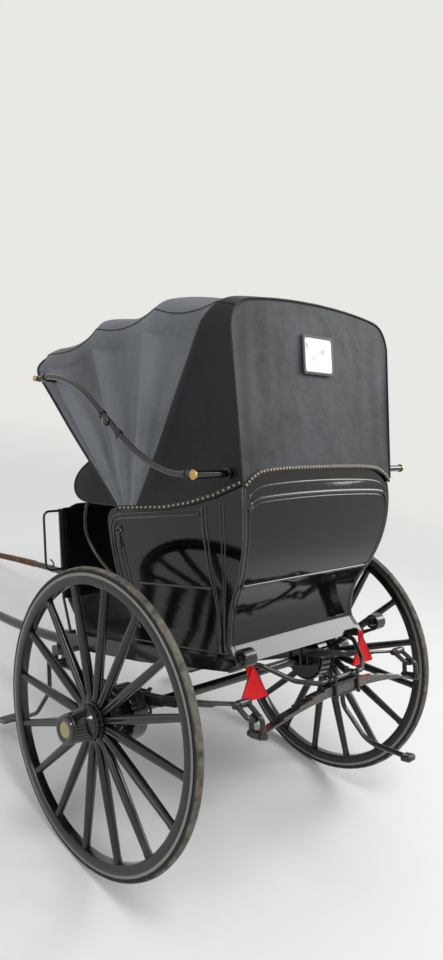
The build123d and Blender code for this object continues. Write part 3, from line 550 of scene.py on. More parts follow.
def d_link(eye_at, tip, across):
    """A round bar bent to a bow whose tip is given, with a ball eye at both feet and a pin through."""
    eye_at, tip, across = (np.asarray(v, float) for v in (eye_at, tip, across))
    way = (tip - eye_at) / np.linalg.norm(tip - eye_at)
    feet = [eye_at + across * link_half, eye_at - across * link_half]
    a = np.linspace(0, math.pi, 20)[:, None]
    bow = tip - way * link_half + across * link_half * np.cos(a) + way * link_half * np.sin(a)
    pin = [eye_at + across * s * (link_half + pin_over) for s in (-1, -0.5, 0.5, 1)]
    return [tube(dense(np.vstack([feet[:1], bow, feet[1:]]), 0.005), link_r), tube(pin, pin_r, 14),
            *(ball(foot, link_r * eye_swell) for foot in feet)]


for side, hand in sides:
    links = d_link((hand * spring_x, eye_y, eye_z), (hand * spring_x, cross_y, hanging_tip), (1, 0, 0))
    links += d_link((hand * cross_x, cross_y, cross_z), (hand * cross_x, cross_y, standing_tip), (0, 1, 0))
    add_piece(f"d_links_{side}", links, iron_paint, [f"shackle_{side}"], 35)

# Rear scrolls: the ends of the sill irons, hammered flat and rolled into open eyes behind the body.
# A turned pin lies across the middle of each.
scroll_eye = np.array([0.536, 0.866])
scroll_start = np.array([(0.4735, 0.8020), (0.4735, 0.8205)])
scroll_in, scroll_out, scroll_ease = 0.400, 0.460, 0.0015
scroll_outer, scroll_inner = 0.0385, 0.0165


def rolled():
    """A flat bar that comes in from its start and winds once round its eye, as a closed strip. Its
    outer face is a spiral whose radius falls evenly with the angle; its inner face runs half of the
    difference of both radii nearer the middle."""
    turn = np.linspace(-0.50, 1.62, 56) * math.pi
    round_eye = np.stack([np.cos(turn), np.sin(turn)], -1)
    gap = scroll_outer - scroll_inner
    radius = np.interp(turn, [turn[0], turn[-1]], [scroll_outer, scroll_inner + gap * 0.52])[:, None]
    outside, inside = (scroll_eye + round_eye * (radius - off) for off in (0.0, gap * 0.50))
    lead = np.linspace(0, 1, 8, endpoint=False)[:, None]
    top, low = (np.vstack([start + (face[0] - start) * lead, face])
                for start, face in zip(scroll_start, (outside, inside)))
    way = (top - low) / np.linalg.norm(top - low, axis=1)[:, None]
    steps = [(scroll_in, scroll_ease), (scroll_in + scroll_ease, 0.0), (scroll_out - scroll_ease, 0.0),
             (scroll_out, scroll_ease)]
    loop = [at_x(top - way * ease, x) for x, ease in steps]
    loop += [at_x(low + way * ease, x) for x, ease in steps[::-1]]
    return capped(np.stack(loop, 1))


pin = np.array([(x, *scroll_eye) for x in (0.404, 0.406, 0.454, 0.456)])
for side, hand in sides:
    flip = np.array([hand, 1, 1])
    parts = [(rolled() * flip, False, True), tube(pin * flip, [0.0120, 0.0132, 0.0132, 0.0120], 20)]
    add_piece(f"rolled_scroll_{side}", parts, iron_paint, [f"rear_scroll_{side}"], 35)


# Shaft fittings: sewn leather round the front of each pole, with a raised seam below and an iron
# ring where it starts. Behind it stand an iron tug stop with its hook and a breeching staple.
def leather(name, colour, worn, grain, roughness, dents=0.5, sheen=0.0, specular=0.32):
    """Leather has broken, soft lights from its pebbled grain, and pales in patches 14 cm wide where
    it is rubbed. The grain's size is in mm, as on the real hide or cloth."""
    finish, tree, shader, place = new_finish(name)
    paleness = add(tree, "ShaderNodeTexNoise", {"Vector": (place, "Object"), "Scale": per_metre(143),
                                            "Detail": 8.0, "Roughness": 0.6})
    mask = add(tree, "ShaderNodeMapRange", {"Value": (paleness, "Fac"), "From Min": 0.35, "From Max": 0.72})
    tint = add(tree, "ShaderNodeMix", {"Factor": (mask, "Result"), "A": linear(colour), "B": linear(worn)},
               data_type="RGBA")
    pebbles = add(tree, "ShaderNodeTexVoronoi", {"Vector": (place, "Object"), "Scale": per_metre(grain)},
                  feature="SMOOTH_F1")
    skin = add(tree, "ShaderNodeBump", {"Height": (pebbles, "Distance"), "Strength": dents,
                                        "Distance": 0.0006})
    wire(shader, {"Base Color": (tint, "Result"), "Normal": (skin, "Normal"), "Roughness": roughness,
                  "Sheen Weight": sheen, "Specular IOR Level": specular})
    return finish


wrap_leather = leather("sewn brown harness leather", "#4A2A1A", "#7A4E31", 0.91, 0.5)
thread = leather("waxed black thread", "#1E1C1A", "#2E2B27", 0.4, 0.7)
wrap_from, wrap_to, wrap_thick, collar_y, tug_y, staple_y = -2.24, -2.945, 0.0016, -2.236, -2.05, -1.42
# columns: x, y, z, radius
pole = np.array([
    (0.410, -0.700, 0.797, 0.0250), (0.438, -1.120, 0.846, 0.0245), (0.428, -1.600, 0.925, 0.0230),
    (0.372, -2.200, 1.026, 0.0210), (0.308, -2.700, 1.092, 0.0175), (0.286, -2.960, 1.118, 0.0150)])


def pole_at(y, hand, node):
    """Centre and radius of a shaft's pole at a level y, felt from inside to the CAD piece's four sides."""
    guess = np.array([np.interp(-y, -pole[:, 1], column) for column in pole.T])
    centre = Vector(tipped((guess[0] * hand, y, guess[2])))
    up = Vector((0, -math.sin(tip_angle), math.cos(tip_angle)))
    hits = []
    for way in (Vector((1, 0, 0)), Vector((-1, 0, 0)), up, -up):
        found, spot, *_ = node.ray_cast(centre, way, distance=0.08)
        hits.append((spot - centre).length if found else guess[3])
    shift_x, shift_z = (hits[0] - hits[1]) / 2, (hits[2] - hits[3]) / 2
    return np.array([guess[0] * hand + shift_x, y, guess[2] + shift_z]), (hits[0] + hits[1]) / 2


def pole_ring(spot, r, half_long, high):
    """A rounded iron ring round the pole, along the pole's slope."""
    way = np.outer(np.linspace(-half_long, half_long, 5), [0, -0.975, 0.22])
    return tube(spot + way, [r, r + high, r + high, r + high, r], 24)


for side, hand in sides:
    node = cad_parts[f"shaft_{side}"]
    node.hide_viewport = False
    bpy.context.view_layer.update()
    stations = [pole_at(y, hand, node) for y in np.linspace(wrap_from, wrap_to, 30)]
    path = np.array([spot for spot, _ in stations])
    size = np.array([r for _, r in stations])
    wrap = tube(path, size + wrap_thick, 24)
    seam = tube(path[1:-1] - [0, 0, 1] * (size[1:-1, None] + wrap_thick), 0.0016, 6)
    add_piece(f"shaft_wrap_{side}", [wrap, seam], wrap_leather)
    irons = [pole_ring(*pole_at(collar_y, hand, node), 0.006, 0.0028)]
    spot, r = pole_at(tug_y, hand, node)
    hook = [(0, 0.018, r), (0, 0.014, r + 0.018), (0, -0.004, r + 0.036), (0, -0.022, r + 0.038)]
    irons += [pole_ring(spot, r, 0.022, 0.0022), tube(softened(spot + hook), 0.0055, 10)]
    spot, r = pole_at(staple_y, hand, node)
    staple = [(0, -0.030, -r + 0.002), (0, -0.026, -r - 0.020), (0, 0.026, -r - 0.020),
              (0, 0.030, -r + 0.002)]
    irons.append(tube(softened(spot + staple), 0.0042, 10))
    node.hide_viewport = True
    add_piece(f"shaft_irons_{side}", irons, iron_paint)

# Body: bent and screwed panels of glossy black coach lacquer over an ogee, flared at the foot,
# hollow at the waist and full above. Half-round beads and reeds are pinned over the joints.
lacquer = painted("black coach lacquer", "#060606", "#4A4234", 0.14, 0.07, 200.0, 0.15)
bead_paint = painted("polished black beading", "#0A0A0B", "#5A554B", 0.10, 0.08, 200.0, 0.9)


def repainted(node, finish):
    """A CAD piece that is kept as it is, in its material."""
    node.data.materials.clear()
    node.data.materials.append(finish)


for name in ("rear_panel", "side_panel_left", "side_panel_right"):
    repainted(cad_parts[name], lacquer)


def ogee(start, foot_end, waist_end, top_end, tip=None):
    """One upright edge of the body in (across, height), drawn as the solids have it: an arc down to
    the foot and a straight flare to its tip, an arc up to the waist's end, and one that leaves it
    smoothly to the top."""
    def tangent_arc(p, q, t):
        """The arc that leaves p along t and ends at q, with its last direction."""
        t = np.asarray(t, float) / np.linalg.norm(t)
        n = np.array([-t[1], t[0]])
        d = np.asarray(q, float) - p
        r = d @ d / (2 * (d @ n))
        sweep = 2 * math.atan2(abs(d @ n), d @ t)
        a = np.linspace(0, sweep, 24)[:, None]
        points = p + t * abs(r) * np.sin(a) + n * r * (1 - np.cos(a))
        return points, t * math.cos(sweep) + n * math.copysign(1, r) * math.sin(sweep)
    foot, _ = tangent_arc(np.array(start), foot_end, (0, -1))
    waist, lean = tangent_arc(np.array(start), waist_end, (0, 1))
    full, _ = tangent_arc(waist[-1], top_end, lean)
    flare = [] if tip is None else [np.linspace(tip, foot_end, 9)[:-1]]
    return np.vstack([*flare, foot[::-1], waist[1:], full[1:]])


tail_edge = ogee((0.430, 0.908), (0.436, 0.884), (0.494, 1.095), (0.609, 1.505), (0.473, 0.822))
flank_edge = ogee((0.400, 0.930), (0.411, 0.842), (0.426, 1.110), (0.474, 1.505))


def tail_y(z):
    """How far back the tail panel stands at a height."""
    return np.interp(z, tail_edge[:, 1], tail_edge[:, 0])


def flank_x(z):
    """How far out a side panel stands at a height."""
    return np.interp(z, flank_edge[:, 1], flank_edge[:, 0])


def on_flank(line, hand, stand=0.0):
    """Places of a (y, z) line on a side panel, standing off it."""
    y, z = np.asarray(line, float).T
    return np.stack([hand * (flank_x(z) + stand), y, z], -1)


def on_tail(line, stand=0.0):
    """Places of an (x, z) line on the tail panel, standing off it."""
    x, z = np.asarray(line, float).T
    return np.stack([x, tail_y(z) + stand, z], -1)


belt_z, post_y, curl_y, curl_z = 1.1120, -0.142, -0.148, 1.336
arch = dense(softened(both_halves([(0.4470, 1.4100), (0.4450, 1.4320), (0.4330, 1.4480), (0.4080, 1.4570),
                                   (0.3500, 1.4625), (0.1800, 1.4680), (0.0, 1.4700)]), 2), 0.012)
crest = dense(softened(both_halves([(0.452, 1.420), (0.452, 1.447), (0.440, 1.474), (0.412, 1.493),
                                    (0.360, 1.506), (0.18, 1.514), (0.0, 1.516)]), 2), 0.012)
border_line = dense(softened([(0.372, 1.404), (-0.110, 1.396), (-0.148, 1.390), (-0.176, 1.366),
                              (-0.188, 1.330), (-0.190, 1.150), (-0.188, 1.030), (-0.160, 0.965),
                              (-0.120, 0.910)], 2), 0.012)
brow_line = dense(softened([(0.380, 1.424), (-0.110, 1.416), (-0.165, 1.408), (-0.199, 1.378),
                            (-0.208, 1.330), (-0.209, 1.030), (-0.176, 0.950), (-0.140, 0.905)], 2), 0.012)
beads = [tube(on_tail(arch, 0.001), 0.0062), tube(on_tail(arch * [0.985, 1] - [0, 0.017]), 0.0026, 8),
         tube(on_tail(np.linspace((-0.402, 1.1250), (0.402, 1.1250), 60), 0.001), 0.0056),
         tube(on_tail(crest, -0.001), 0.0042, 10)]
for hand in (1, -1):
    beads.append(ball(on_tail((hand * 0.404, 1.1250), 0.002), 0.0105))
    z = np.linspace(0.850, 1.4100, 60)
    x = flank_x(z) - 0.020 - 0.004 * (z - 0.85) / 0.56
    beads.append(tube(on_tail(np.stack([hand * x, z], -1)), 0.0030, 8))
    z = np.linspace(0.845, 1.500, 70)
    beads.append(tube(np.stack([hand * (flank_x(z) - 0.0065), tail_y(z) - 0.0065, z], -1), 0.0088))
    # the reeds up the side's rear edge, each a share of the way from the panel's joint to the corner
    joint = np.interp(z, [0.845, 0.877, 1.44, 1.5], [0.385, 0.374, 0.386, 0.388])
    for share, thick in ((0.0, 0.0052), (0.10, 0.0036), (0.44, 0.0030), (0.52, 0.0030)):
        reed_z = np.linspace(0.860, 1.436 + 0.030 * share, 60)
        reed_y = np.interp(reed_z, z, joint + share * (tail_y(z) - joint))
        beads.append(tube(on_flank(np.stack([reed_y, reed_z], -1), hand, 0.0003), thick, 8))
    beads.append(tube(on_flank(np.linspace((-0.085, belt_z), (0.360, belt_z), 40), hand, 0.001), 0.0052))
    beads += [ball(on_flank((y, belt_z), hand, 0.002), 0.0085) for y in (-0.087, 0.362)]
    beads.append(tube(on_flank(border_line, hand), 0.0050, 10))
    beads.append(tube(on_flank(brow_line, hand), 0.0040, 10))
    beads.append(tube(on_flank(np.linspace((-0.245, 0.8560), (0.430, 0.8560), 50), hand), 0.0048, 10))
    for y in (post_y - 0.0125, post_y + 0.0125):
        beads.append(tube(on_flank(np.linspace((y, 1.318), (y, 1.030), 40), hand), 0.0036, 8))
    # the small scroll above the post: a curl, its eye, its tip and a leaf that runs down from it
    turns = np.linspace(0, 2.6 * math.pi, 60)
    wide = 0.021 * (1 - turns / (2.9 * math.pi))
    curl = np.stack([curl_y + wide * np.cos(turns), curl_z + wide * np.sin(turns)], -1)
    beads.append(tube(on_flank(curl, hand, 0.003), np.linspace(0.0052, 0.0030, 60), 10))
    beads.append(ball(on_flank((curl_y, curl_z), hand, 0.003), 0.0062))
    beads.append(ball(on_flank((-0.130, 1.360), hand, 0.002), 0.0058))
    leaf = np.linspace(0, 1, 24)
    leaf_line = np.stack([post_y - 0.010 * np.sin(math.pi * leaf), 1.318 - 0.05 * leaf], -1)
    beads.append(tube(on_flank(leaf_line, hand, 0.002), 0.0030 + 0.0045 * np.sin(math.pi * leaf), 10))
add_piece("body_beads", beads, bead_paint, (), 50)

# Floor, footboard, seat box and dash: painted boards with eased edges, and a dash of patent leather
# stretched over an iron frame, its edge welted and sewn with two rows of stitches.
board_paint = painted("worn black floor boards", "#141312", "#6E6455", 0.7, 0.45, 62.5, 0.0)
patent = leather("patent dash leather", "#0C0C0D", "#1B1B1C", 0.71, 0.22, 0.18)
for node in ("floor_board", "footboard"):
    eased(node, board_paint, 0.0025)
eased("seat_box", lacquer, 0.0020)
eased("dash", patent, 0.0045)


def dense_loop(loop, step):
    """A line that joins up, with points no further apart than a step."""
    return dense(np.vstack([loop, loop[:1]]), step)[:-1]


dash_y, dash_half_thick, stitch_long = -0.705, 0.0063, 0.0080
dash_loop = both_halves([(0.0, 1.4550), (0.26, 1.4550), (0.300, 1.4545), (0.330, 1.4450), (0.345, 1.4370),
                         (0.380, 1.4350), (0.3955, 1.4310), (0.3980, 1.4150), (0.3980, 1.0250),
                         (0.3950, 1.0065), (0.3800, 1.0040), (0.0, 1.0040)])[:-1]
dash_middle = np.array([0.0, 1.2295])
stitches = []
for inset in (0.940, 0.965):
    ring = dash_middle + (np.vstack([dash_loop, dash_loop[:1]]) - dash_middle) * inset
    for face in (dash_y - dash_half_thick, dash_y + dash_half_thick):
        line = at_y(dense(ring, stitch_long), face)
        for run in (line[k:k + 2] for k in range(len(line) - 1)):
            stitches.append(tube(run * 0.8 + run.mean(0) * 0.2, 0.0011, 4))
welt = tube(at_y(dense_loop(dash_loop, 0.01), dash_y), 0.0085, 10, True)
add_piece("dash_welt", [welt], patent)
add_piece("dash_stitches", stitches, thread)

# Cushions: horsehair squabs in dark leather, the seat boxed and the back leaned. Each is sewn from
# flat panels with piped seams, and swells between them. The back pad is drawn in by two button rows.
cushion_leather = leather("dark cushion leather", "#17120F", "#2E241D", 1.11, 0.42, 0.5)
seam_round, skin_size, air, steps, most_swell = 0.010, 0.008, 4.0, 20, 0.024
welt_lift, welt_r = 0.0015, 0.0040


def swollen(outline, half_wide, spread):
    """A pad sewn from flat panels and stuffed, by cloth with air in it. outline is its end's corners
    (y, z), and it is half_wide each way. No point moves more than most_swell, times spread."""
    work = bmesh.new()
    ends = [[work.verts.new((x, y, z)) for y, z in outline] for x in (-half_wide, half_wide)]
    work.faces.new(ends[0])
    work.faces.new(ends[1][::-1])
    for k in range(len(outline)):
        n = (k + 1) % len(outline)
        work.faces.new((ends[0][n], ends[0][k], ends[1][k], ends[1][n]))
    bmesh.ops.recalc_face_normals(work, faces=work.faces)
    bmesh.ops.bevel(work, geom=list(work.edges), offset=seam_round, segments=3, affect="EDGES")
    mesh = bpy.data.meshes.new("pad")
    work.to_mesh(mesh)
    work.free()
    pad = placed("pad", mesh)
    skin = pad.modifiers.new("skin", "REMESH")
    skin.mode, skin.voxel_size = "VOXEL", skin_size
    mesh = bpy.data.meshes.new_from_object(pad.evaluated_get(bpy.context.evaluated_depsgraph_get()))
    pad.modifiers.clear()
    pad.data = mesh
    start = places_of(mesh)
    move = 0 * start
    stuffing = pad.modifiers.new("stuffing", "CLOTH")
    stuffing.settings.use_pressure = True
    stuffing.settings.uniform_pressure_force = air
    stuffing.settings.effector_weights.gravity = 0.0
    stuffing.settings.quality = 4
    for frame_no in range(1, steps + 1):
        scene.frame_set(frame_no)
    done = pad.evaluated_get(bpy.context.evaluated_depsgraph_get())
    move = places_of(done.to_mesh()) - start
    done.to_mesh_clear()
    scene.frame_set(1)
    bpy.data.objects.remove(pad)
    long = np.linalg.norm(move, axis=1, keepdims=True)
    move = move * np.minimum(1, most_swell / np.maximum(long, 1e-9)) * spread
    return start + move, [list(f.vertices) for f in mesh.polygons]


def pad_piece(name, points, polygons, node):
    """A padded piece from its level points, parked, smoothed once and in its leather."""
    mesh = bpy.data.meshes.new(name)
    mesh.from_pydata(tipped(points).tolist(), [], polygons)
    mesh.shade_smooth()
    piece = placed(name, mesh, cushion_leather)
    rounder = piece.modifiers.new("smooth", "SUBSURF")
    rounder.levels = rounder.render_levels = 1
    mounted(piece, "carriage", [node])


def nearest(points, spots):
    """The number of the point nearest to each spot."""
    tree = KDTree(len(points))
    for k, point in enumerate(points):
        tree.insert(point, k)
    tree.balance()
    return [tree.find(spot)[1] for spot in spots]


def piping(points, loop):
    """A piped seam: a loop moved on to the nearest points of a pad, evened out three times, then
    lifted off it away from its middle."""
    loop = dense_loop(loop, 0.012)
    near = points[nearest(points, loop)]
    for _ in range(3):
        near = near * 0.5 + (np.roll(near, 1, 0) + np.roll(near, -1, 0)) * 0.25
    off = loop - points.mean(0)
    off /= np.linalg.norm(off, axis=1)[:, None]
    return tube(near + off * welt_lift, welt_r, 8, True)


seat_half, seat_front, seat_rear, seat_low, seat_high = 0.388, -0.116, 0.388, 1.166, 1.229
seat_box_top, seat_crown = 1.1605, 1.2560
points, polygons = swollen([(seat_front, seat_low), (seat_rear, seat_low), (seat_rear, seat_high),
                            (seat_front, seat_high)], seat_half, [0.9, 0.9, 1.0])
points[:, 2] = np.clip(points[:, 2], seat_box_top, seat_crown)
pad_piece("seat_squab", points, polygons, "seat_cushion")
welts = [piping(points, [(-seat_half, seat_front, z), (seat_half, seat_front, z), (seat_half, seat_rear, z),
                         (-seat_half, seat_rear, z)]) for z in (1.1700, 1.2260)]
back_half, back_low, back_high, dimple_deep, dimple_wide = 0.398, 1.1610, 1.500, 0.016, 0.030
points, polygons = swollen([(0.420, 1.172), (0.480, 1.172), (0.540, 1.335), (0.557, 1.488), (0.532, 1.488),
                            (0.484, 1.325)], back_half, [0.9, 1.0, 1.0])
# the back pad leans on the body's back, which stands this far back at these heights
lean = np.interp(points[:, 2], [1.160, 1.330, 1.500], [0.490, 0.550, 0.570])
buttons = [(x, z) for z in (1.270, 1.390) for x in np.arange(-0.30, 0.31, 0.15)]
dimple = sum(dimple_deep * np.exp(-((points[:, 0] - x) ** 2 + (points[:, 2] - z) ** 2) / dimple_wide ** 2)
             for x, z in buttons)
front_side = np.clip((lean - 0.030 - points[:, 1]) / 0.010, 0, 1)
points[:, 1] = np.minimum(points[:, 1] + dimple * front_side, lean - 0.001)
points[:, 2] = np.clip(points[:, 2], back_low, back_high)
pad_piece("back_squab", points, polygons, "back_cushion")
front_edge = [(0.424, 1.176), (0.484, 1.325), (0.530, 1.484)]
welts.append(piping(points, [(-back_half, *front_edge[0]), *((back_half, *edge) for edge in front_edge),
                             *((-back_half, *edge) for edge in front_edge[:0:-1])]))
add_piece("squab_piping", welts, cushion_leather)
tufts = []
for x, z in buttons:
    away = (points[:, 0] - x) ** 2 + (points[:, 2] - z) ** 2 + (points[:, 1] - 0.40) ** 2 * 0.2
    near = points[np.argmin(away)]
    button = ball((0, 0, 0), 0.0100, 16)[0] * [1.0, 0.45, 1.0]
    tufts.append((button + near - [0, 0.0010, 0], False, True))
add_piece("squab_buttons", tufts, cushion_leather)

# Hood bows: four ash bows steamed to an arch and varnished, their feet together at the hood's
# pivot. They are planed 3 mm thinner than drawn, so that the cloth lies clear of them.
# Varnished ash is warm brown with long darker streaks, drawn 5 mm wide where the real grain is finer.
wood, tree, shader, place = new_finish("varnished ash")
lie = add(tree, "ShaderNodeMapping", {"Vector": (place, "Object"),
                                      "Scale": (per_metre(32.5), per_metre(5.05), per_metre(5.05))})
grain = add(tree, "ShaderNodeTexNoise", {"Vector": (lie, "Vector"), "Scale": 1.0, "Detail": 8.0,
                                         "Distortion": 0.6})
tint = stops(add(tree, "ShaderNodeValToRGB", {"Fac": (grain, "Fac")}), (0.3, "#4C3320"), (0.7, "#80603D"))
wire(shader, {"Base Color": (tint, "Color"), "Roughness": 0.38})
bows = eased("hood_bows", wood, 0.0030)
planed = bows.modifiers.new("planed", "DISPLACE")
planed.strength, planed.mid_level = -0.0030, 0.0
bows.modifiers.move(1, 0)

# Hood: one side-to-side sheet of black leather cloth stretched over four bows and nailed down, with
# a second sheet for the rear curtain. Between bows it sags; the rear quarters are drawn hollow.
# columns: y and z of the nailed line along a side
nail_line = np.array([(-0.128, 1.440), (0.170, 1.438), (0.320, 1.452), (0.463, 1.479), (0.580, 1.513),
                      (0.609, 1.5225)])
# columns: y, the crown's height, and how far brow, knee and hip lie below it
roof_table = np.array([
    (-0.740, 2.205, 0.024, 0.078, 0.150), (-0.620, 2.256, 0.022, 0.072, 0.146),
    (-0.235, 2.325, 0.035, 0.095, 0.175), (0.155, 2.345, 0.047, 0.102, 0.185),
    (0.515, 2.266, 0.026, 0.062, 0.132), (0.6173, 2.232, 0.026, 0.054, 0.112)])
pivot_y, pivot_z = -0.120, 1.470
# columns: y and z where the roof's side seam crosses the front edge and each bow, and the sag behind
bow_seam = np.array([(-0.700, 2.120, 0.006), (-0.623, 2.162, 0.034), (-0.237, 2.214, 0.036),
                     (0.151, 2.222, 0.030), (0.498, 2.169, 0.0)])
bow_at, seam_z, sag_of = bow_seam.T
hood_back, roof_front, quarter_foot = 0.6173, -0.714, -0.022
nailed_x, elbow_z, hip_x, strap_drop = 0.4823, 1.505, 0.507, 0.012
bay_depth, quarter_depth = np.array([0.004, 0.020, 0.024, 0.021]), 0.030
side_count, roof_count, quarter_count, bay_counts = 34, 26, 30, (6, 22, 22, 22)


def bay(e):
    """Which bay between bows a place along the seam is in, and how far across it, from 0 to 1."""
    k = np.clip(np.searchsorted(bow_at, e, side="right") - 1, 0, len(bow_at) - 2)
    return k, np.clip((e - bow_at[k]) / (bow_at[k + 1] - bow_at[k]), 0, 1)


def soft_step(x):
    """From 0 to 1 with a soft start and end, flat outside."""
    x = np.clip(x, 0, 1)
    return x * x * (3 - 2 * x)


def roof_arches(e, count):
    """The roof from hip to hip in planes that fan from the pivot through the seam at each e. Half
    widths and drops of hip, knee and brow come from the table at the place's own y, joined by smooth
    curves, and the whole arch is lowered by its bay's sag."""
    x = np.array([hip_x, 0.5035, 0.484, 0.450, 0.404, 0.27, 0.135, 0.0])
    knots = np.array([1.0, 0.76, 0.52, 0.36, 0.18, 0.075, 0.018, 0.0])
    way = np.concatenate([[0], np.cumsum(np.hypot(np.diff(x), 0.16 * np.diff(knots)))])
    at = np.linspace(0, way[-1], count)
    mix = np.stack([np.interp(at, way, np.eye(len(x))[k]) for k in range(len(x))], -1)
    for _ in range(5):
        mix[1:-1] = mix[1:-1] * 0.5 + (mix[:-2] + mix[2:]) * 0.25
    k, s = bay(e)
    drop = (sag_of[k] * 4 * s * (1 - s))[:, None]
    lean = ((e - pivot_y) / (np.interp(e, bow_at, seam_z) - pivot_z))[:, None]
    y = np.repeat(e[:, None], count, 1)
    for _ in range(6):
        crown, brow, knee, hip = (np.interp(y, roof_table[:, 0], column) for column in roof_table.T[1:])
        down = np.stack([hip, hip * 0.55 + knee * 0.45 + 0.004, knee, knee * 0.42 + brow * 0.58 - 0.004, brow,
                         brow * 0.42, brow * 0.10, 0 * hip], -1)
        z = crown - drop - (down * mix).sum(-1)
        y = np.clip(pivot_y + lean * (z - pivot_z), roof_front, hood_back)
    return np.broadcast_to(mix @ x, z.shape) - 0.25 * drop, y, z


# Rows run from the front edge back, first the fan of bays and then the rear quarter. Each goes from
# a foot on the nailed line up to a hip at the roof's side, over the roof and down.
fan = np.concatenate([np.linspace(a, b, n, endpoint=False) for a, b, n in
                      zip(bow_at[:-1], bow_at[1:], bay_counts)])
quarter = np.linspace(0, 1, quarter_count)
seam_at = np.concatenate([fan, bow_at[-1] + 0 * quarter])
in_fan = np.arange(len(seam_at)) < len(fan)
fan_row = in_fan[:, None]
quarter_no = np.concatenate([0 * fan, quarter])
half_x, half_y, half_z = roof_arches(seam_at, roof_count)
half_y = half_y + (hood_back - half_y) * quarter_no[:, None] ** 1.3
crown = np.interp(half_y, roof_table[:, 0], roof_table[:, 1])
half_z = np.where(quarter_no[:, None] > 0, half_z + (crown - crown[len(fan)]), half_z)
roof_x, roof_y, roof_z = (np.concatenate([half, mirror * half[:, -2::-1]], 1)
                          for half, mirror in ((half_x, -1), (half_y, 1), (half_z, 1)))
hip_y, hip_z = roof_y[:, :1], roof_z[:, :1]
fan_foot = nail_line[0, 0] + (quarter_foot - nail_line[0, 0]) * (fan - bow_at[0]) / (bow_at[-1] - bow_at[0])
foot_y = np.concatenate([fan_foot, quarter_foot + (hood_back - quarter_foot) * quarter])[:, None]
foot_z = np.interp(foot_y, nail_line[:, 0], nail_line[:, 1]) - strap_drop
up = np.linspace(0, 1, side_count, endpoint=False)[None]
side_y = foot_y + (hip_y - foot_y) * up
side_z = foot_z + (hip_z - foot_z) * up
side_x = nailed_x + (roof_x[:, :1] - nailed_x) * np.clip((side_z - elbow_z) / (hip_z - elbow_z), 0, 1)

# The hollow of each bay and quarter, with small pleats above the nails and slack draws across it.
# It fades out within a few centimetres of each bow's plane, over which the cloth lies flat.
flat_by_bow, fade_over, flat_quarter = 0.018, 0.050, 0.10
pleat_count, pleat_deep, draw_count, draw_deep = 15, 0.0034, 5.2, 0.0030
bay_no, across_bay = bay(seam_at)
across_quarter = np.clip((quarter_no - flat_quarter) / (1 - flat_quarter), 0, 1)
depth = np.where(in_fan, bay_depth[bay_no], quarter_depth)
belly = np.where(in_fan, 4 * across_bay * (1 - across_bay),
                 np.maximum(np.sin(math.pi * across_quarter ** 0.62), 0) ** 1.2)
hollow = (depth * belly)[:, None] * np.sin(math.pi * up ** 0.8)
leans = (bow_at[1:] - pivot_y) / (seam_z[1:] - pivot_z)
off_bow = np.min([np.abs(side_y - pivot_y - lean * (side_z - pivot_z)) / math.hypot(1, lean)
                  for lean in leans], 0)
free = soft_step((off_bow - flat_by_bow) / fade_over)
sweep_no = np.linspace(0, 1, len(seam_at))[:, None]
pleats = pleat_deep * np.sin(2 * math.pi * pleat_count * sweep_no ** 1.1) * (1 - up) ** 2.0 * up ** 0.35
draws = draw_deep * np.sin(2 * math.pi * (draw_count * sweep_no + 1.3 * up)) * np.sin(math.pi * up) ** 1.5
side_x = side_x - free * (hollow - np.where(fan_row, pleats, 0) + draws * (1 - quarter_no[:, None]))
left = np.stack([side_x, side_y, side_z], -1)
cover = np.concatenate([left, np.stack([roof_x, roof_y, roof_z], -1), left[:, ::-1] * [-1, 1, 1]], 1)

# Leather cloth is matt, black where it is new and rubbed and bleached grey where the weather falls on
# it. On the hood's sides its paleness also carries painted shade. It clouds over 31 cm and specks over
# 3 cm, and rumples over 14 cm. Its weave is drawn 1 mm wide.
cloth, tree, shader, place = new_finish("weathered black leather cloth")
paleness = add(tree, "ShaderNodeAttribute", attribute_name="paleness")
broad = add(tree, "ShaderNodeTexNoise", {"Vector": (place, "Object"), "Scale": per_metre(312.5),
                                         "Detail": 5.0, "Roughness": 0.55})
fine = add(tree, "ShaderNodeTexNoise", {"Vector": (place, "Object"), "Scale": per_metre(33.3),
                                        "Detail": 6.0, "Roughness": 0.65})
cloudy = add(tree, "ShaderNodeMapRange", {"Value": (broad, "Fac"), "From Min": 0.32, "From Max": 0.68,
                                          "To Min": -0.11, "To Max": 0.12})
specks = add(tree, "ShaderNodeMapRange", {"Value": (fine, "Fac"), "From Min": 0.30, "From Max": 0.75,
                                          "To Min": -0.05, "To Max": 0.06})
both = add(tree, "ShaderNodeMath", {0: (cloudy, "Result"), 1: (specks, "Result")}, operation="ADD")
mask = add(tree, "ShaderNodeMath", {0: (paleness, "Fac"), 1: (both, "Value")}, operation="ADD")
tint = stops(add(tree, "ShaderNodeValToRGB", {"Fac": (mask, "Value")}),
             (0.0, "#121315"), (0.14, "#1B1C1F"), (0.45, "#44474B"), (0.75, "#62656A"), (1.0, "#74777C"))
weave = add(tree, "ShaderNodeTexVoronoi", {"Vector": (place, "Object"), "Scale": per_metre(1.05)},
            feature="SMOOTH_F1")
skin = add(tree, "ShaderNodeBump", {"Height": (weave, "Distance"), "Strength": 0.4, "Distance": 0.0005})
rumple = add(tree, "ShaderNodeTexNoise", {"Vector": (place, "Object"), "Scale": per_metre(143),
                                          "Detail": 4.0, "Distortion": 0.5})
slack = add(tree, "ShaderNodeBump", {"Height": (rumple, "Fac"), "Normal": (skin, "Normal"),
                                     "Strength": 0.40, "Distance": 0.014})
wire(shader, {"Base Color": (tint, "Color"), "Normal": (slack, "Normal"), "Roughness": 0.52,
              "Specular IOR Level": 0.26})
lining = leather("dark hood lining cloth", "#1D1B19", "#2B2825", 0.56, 0.9, 0.4, 0.3)
cloth_thick = 0.0030


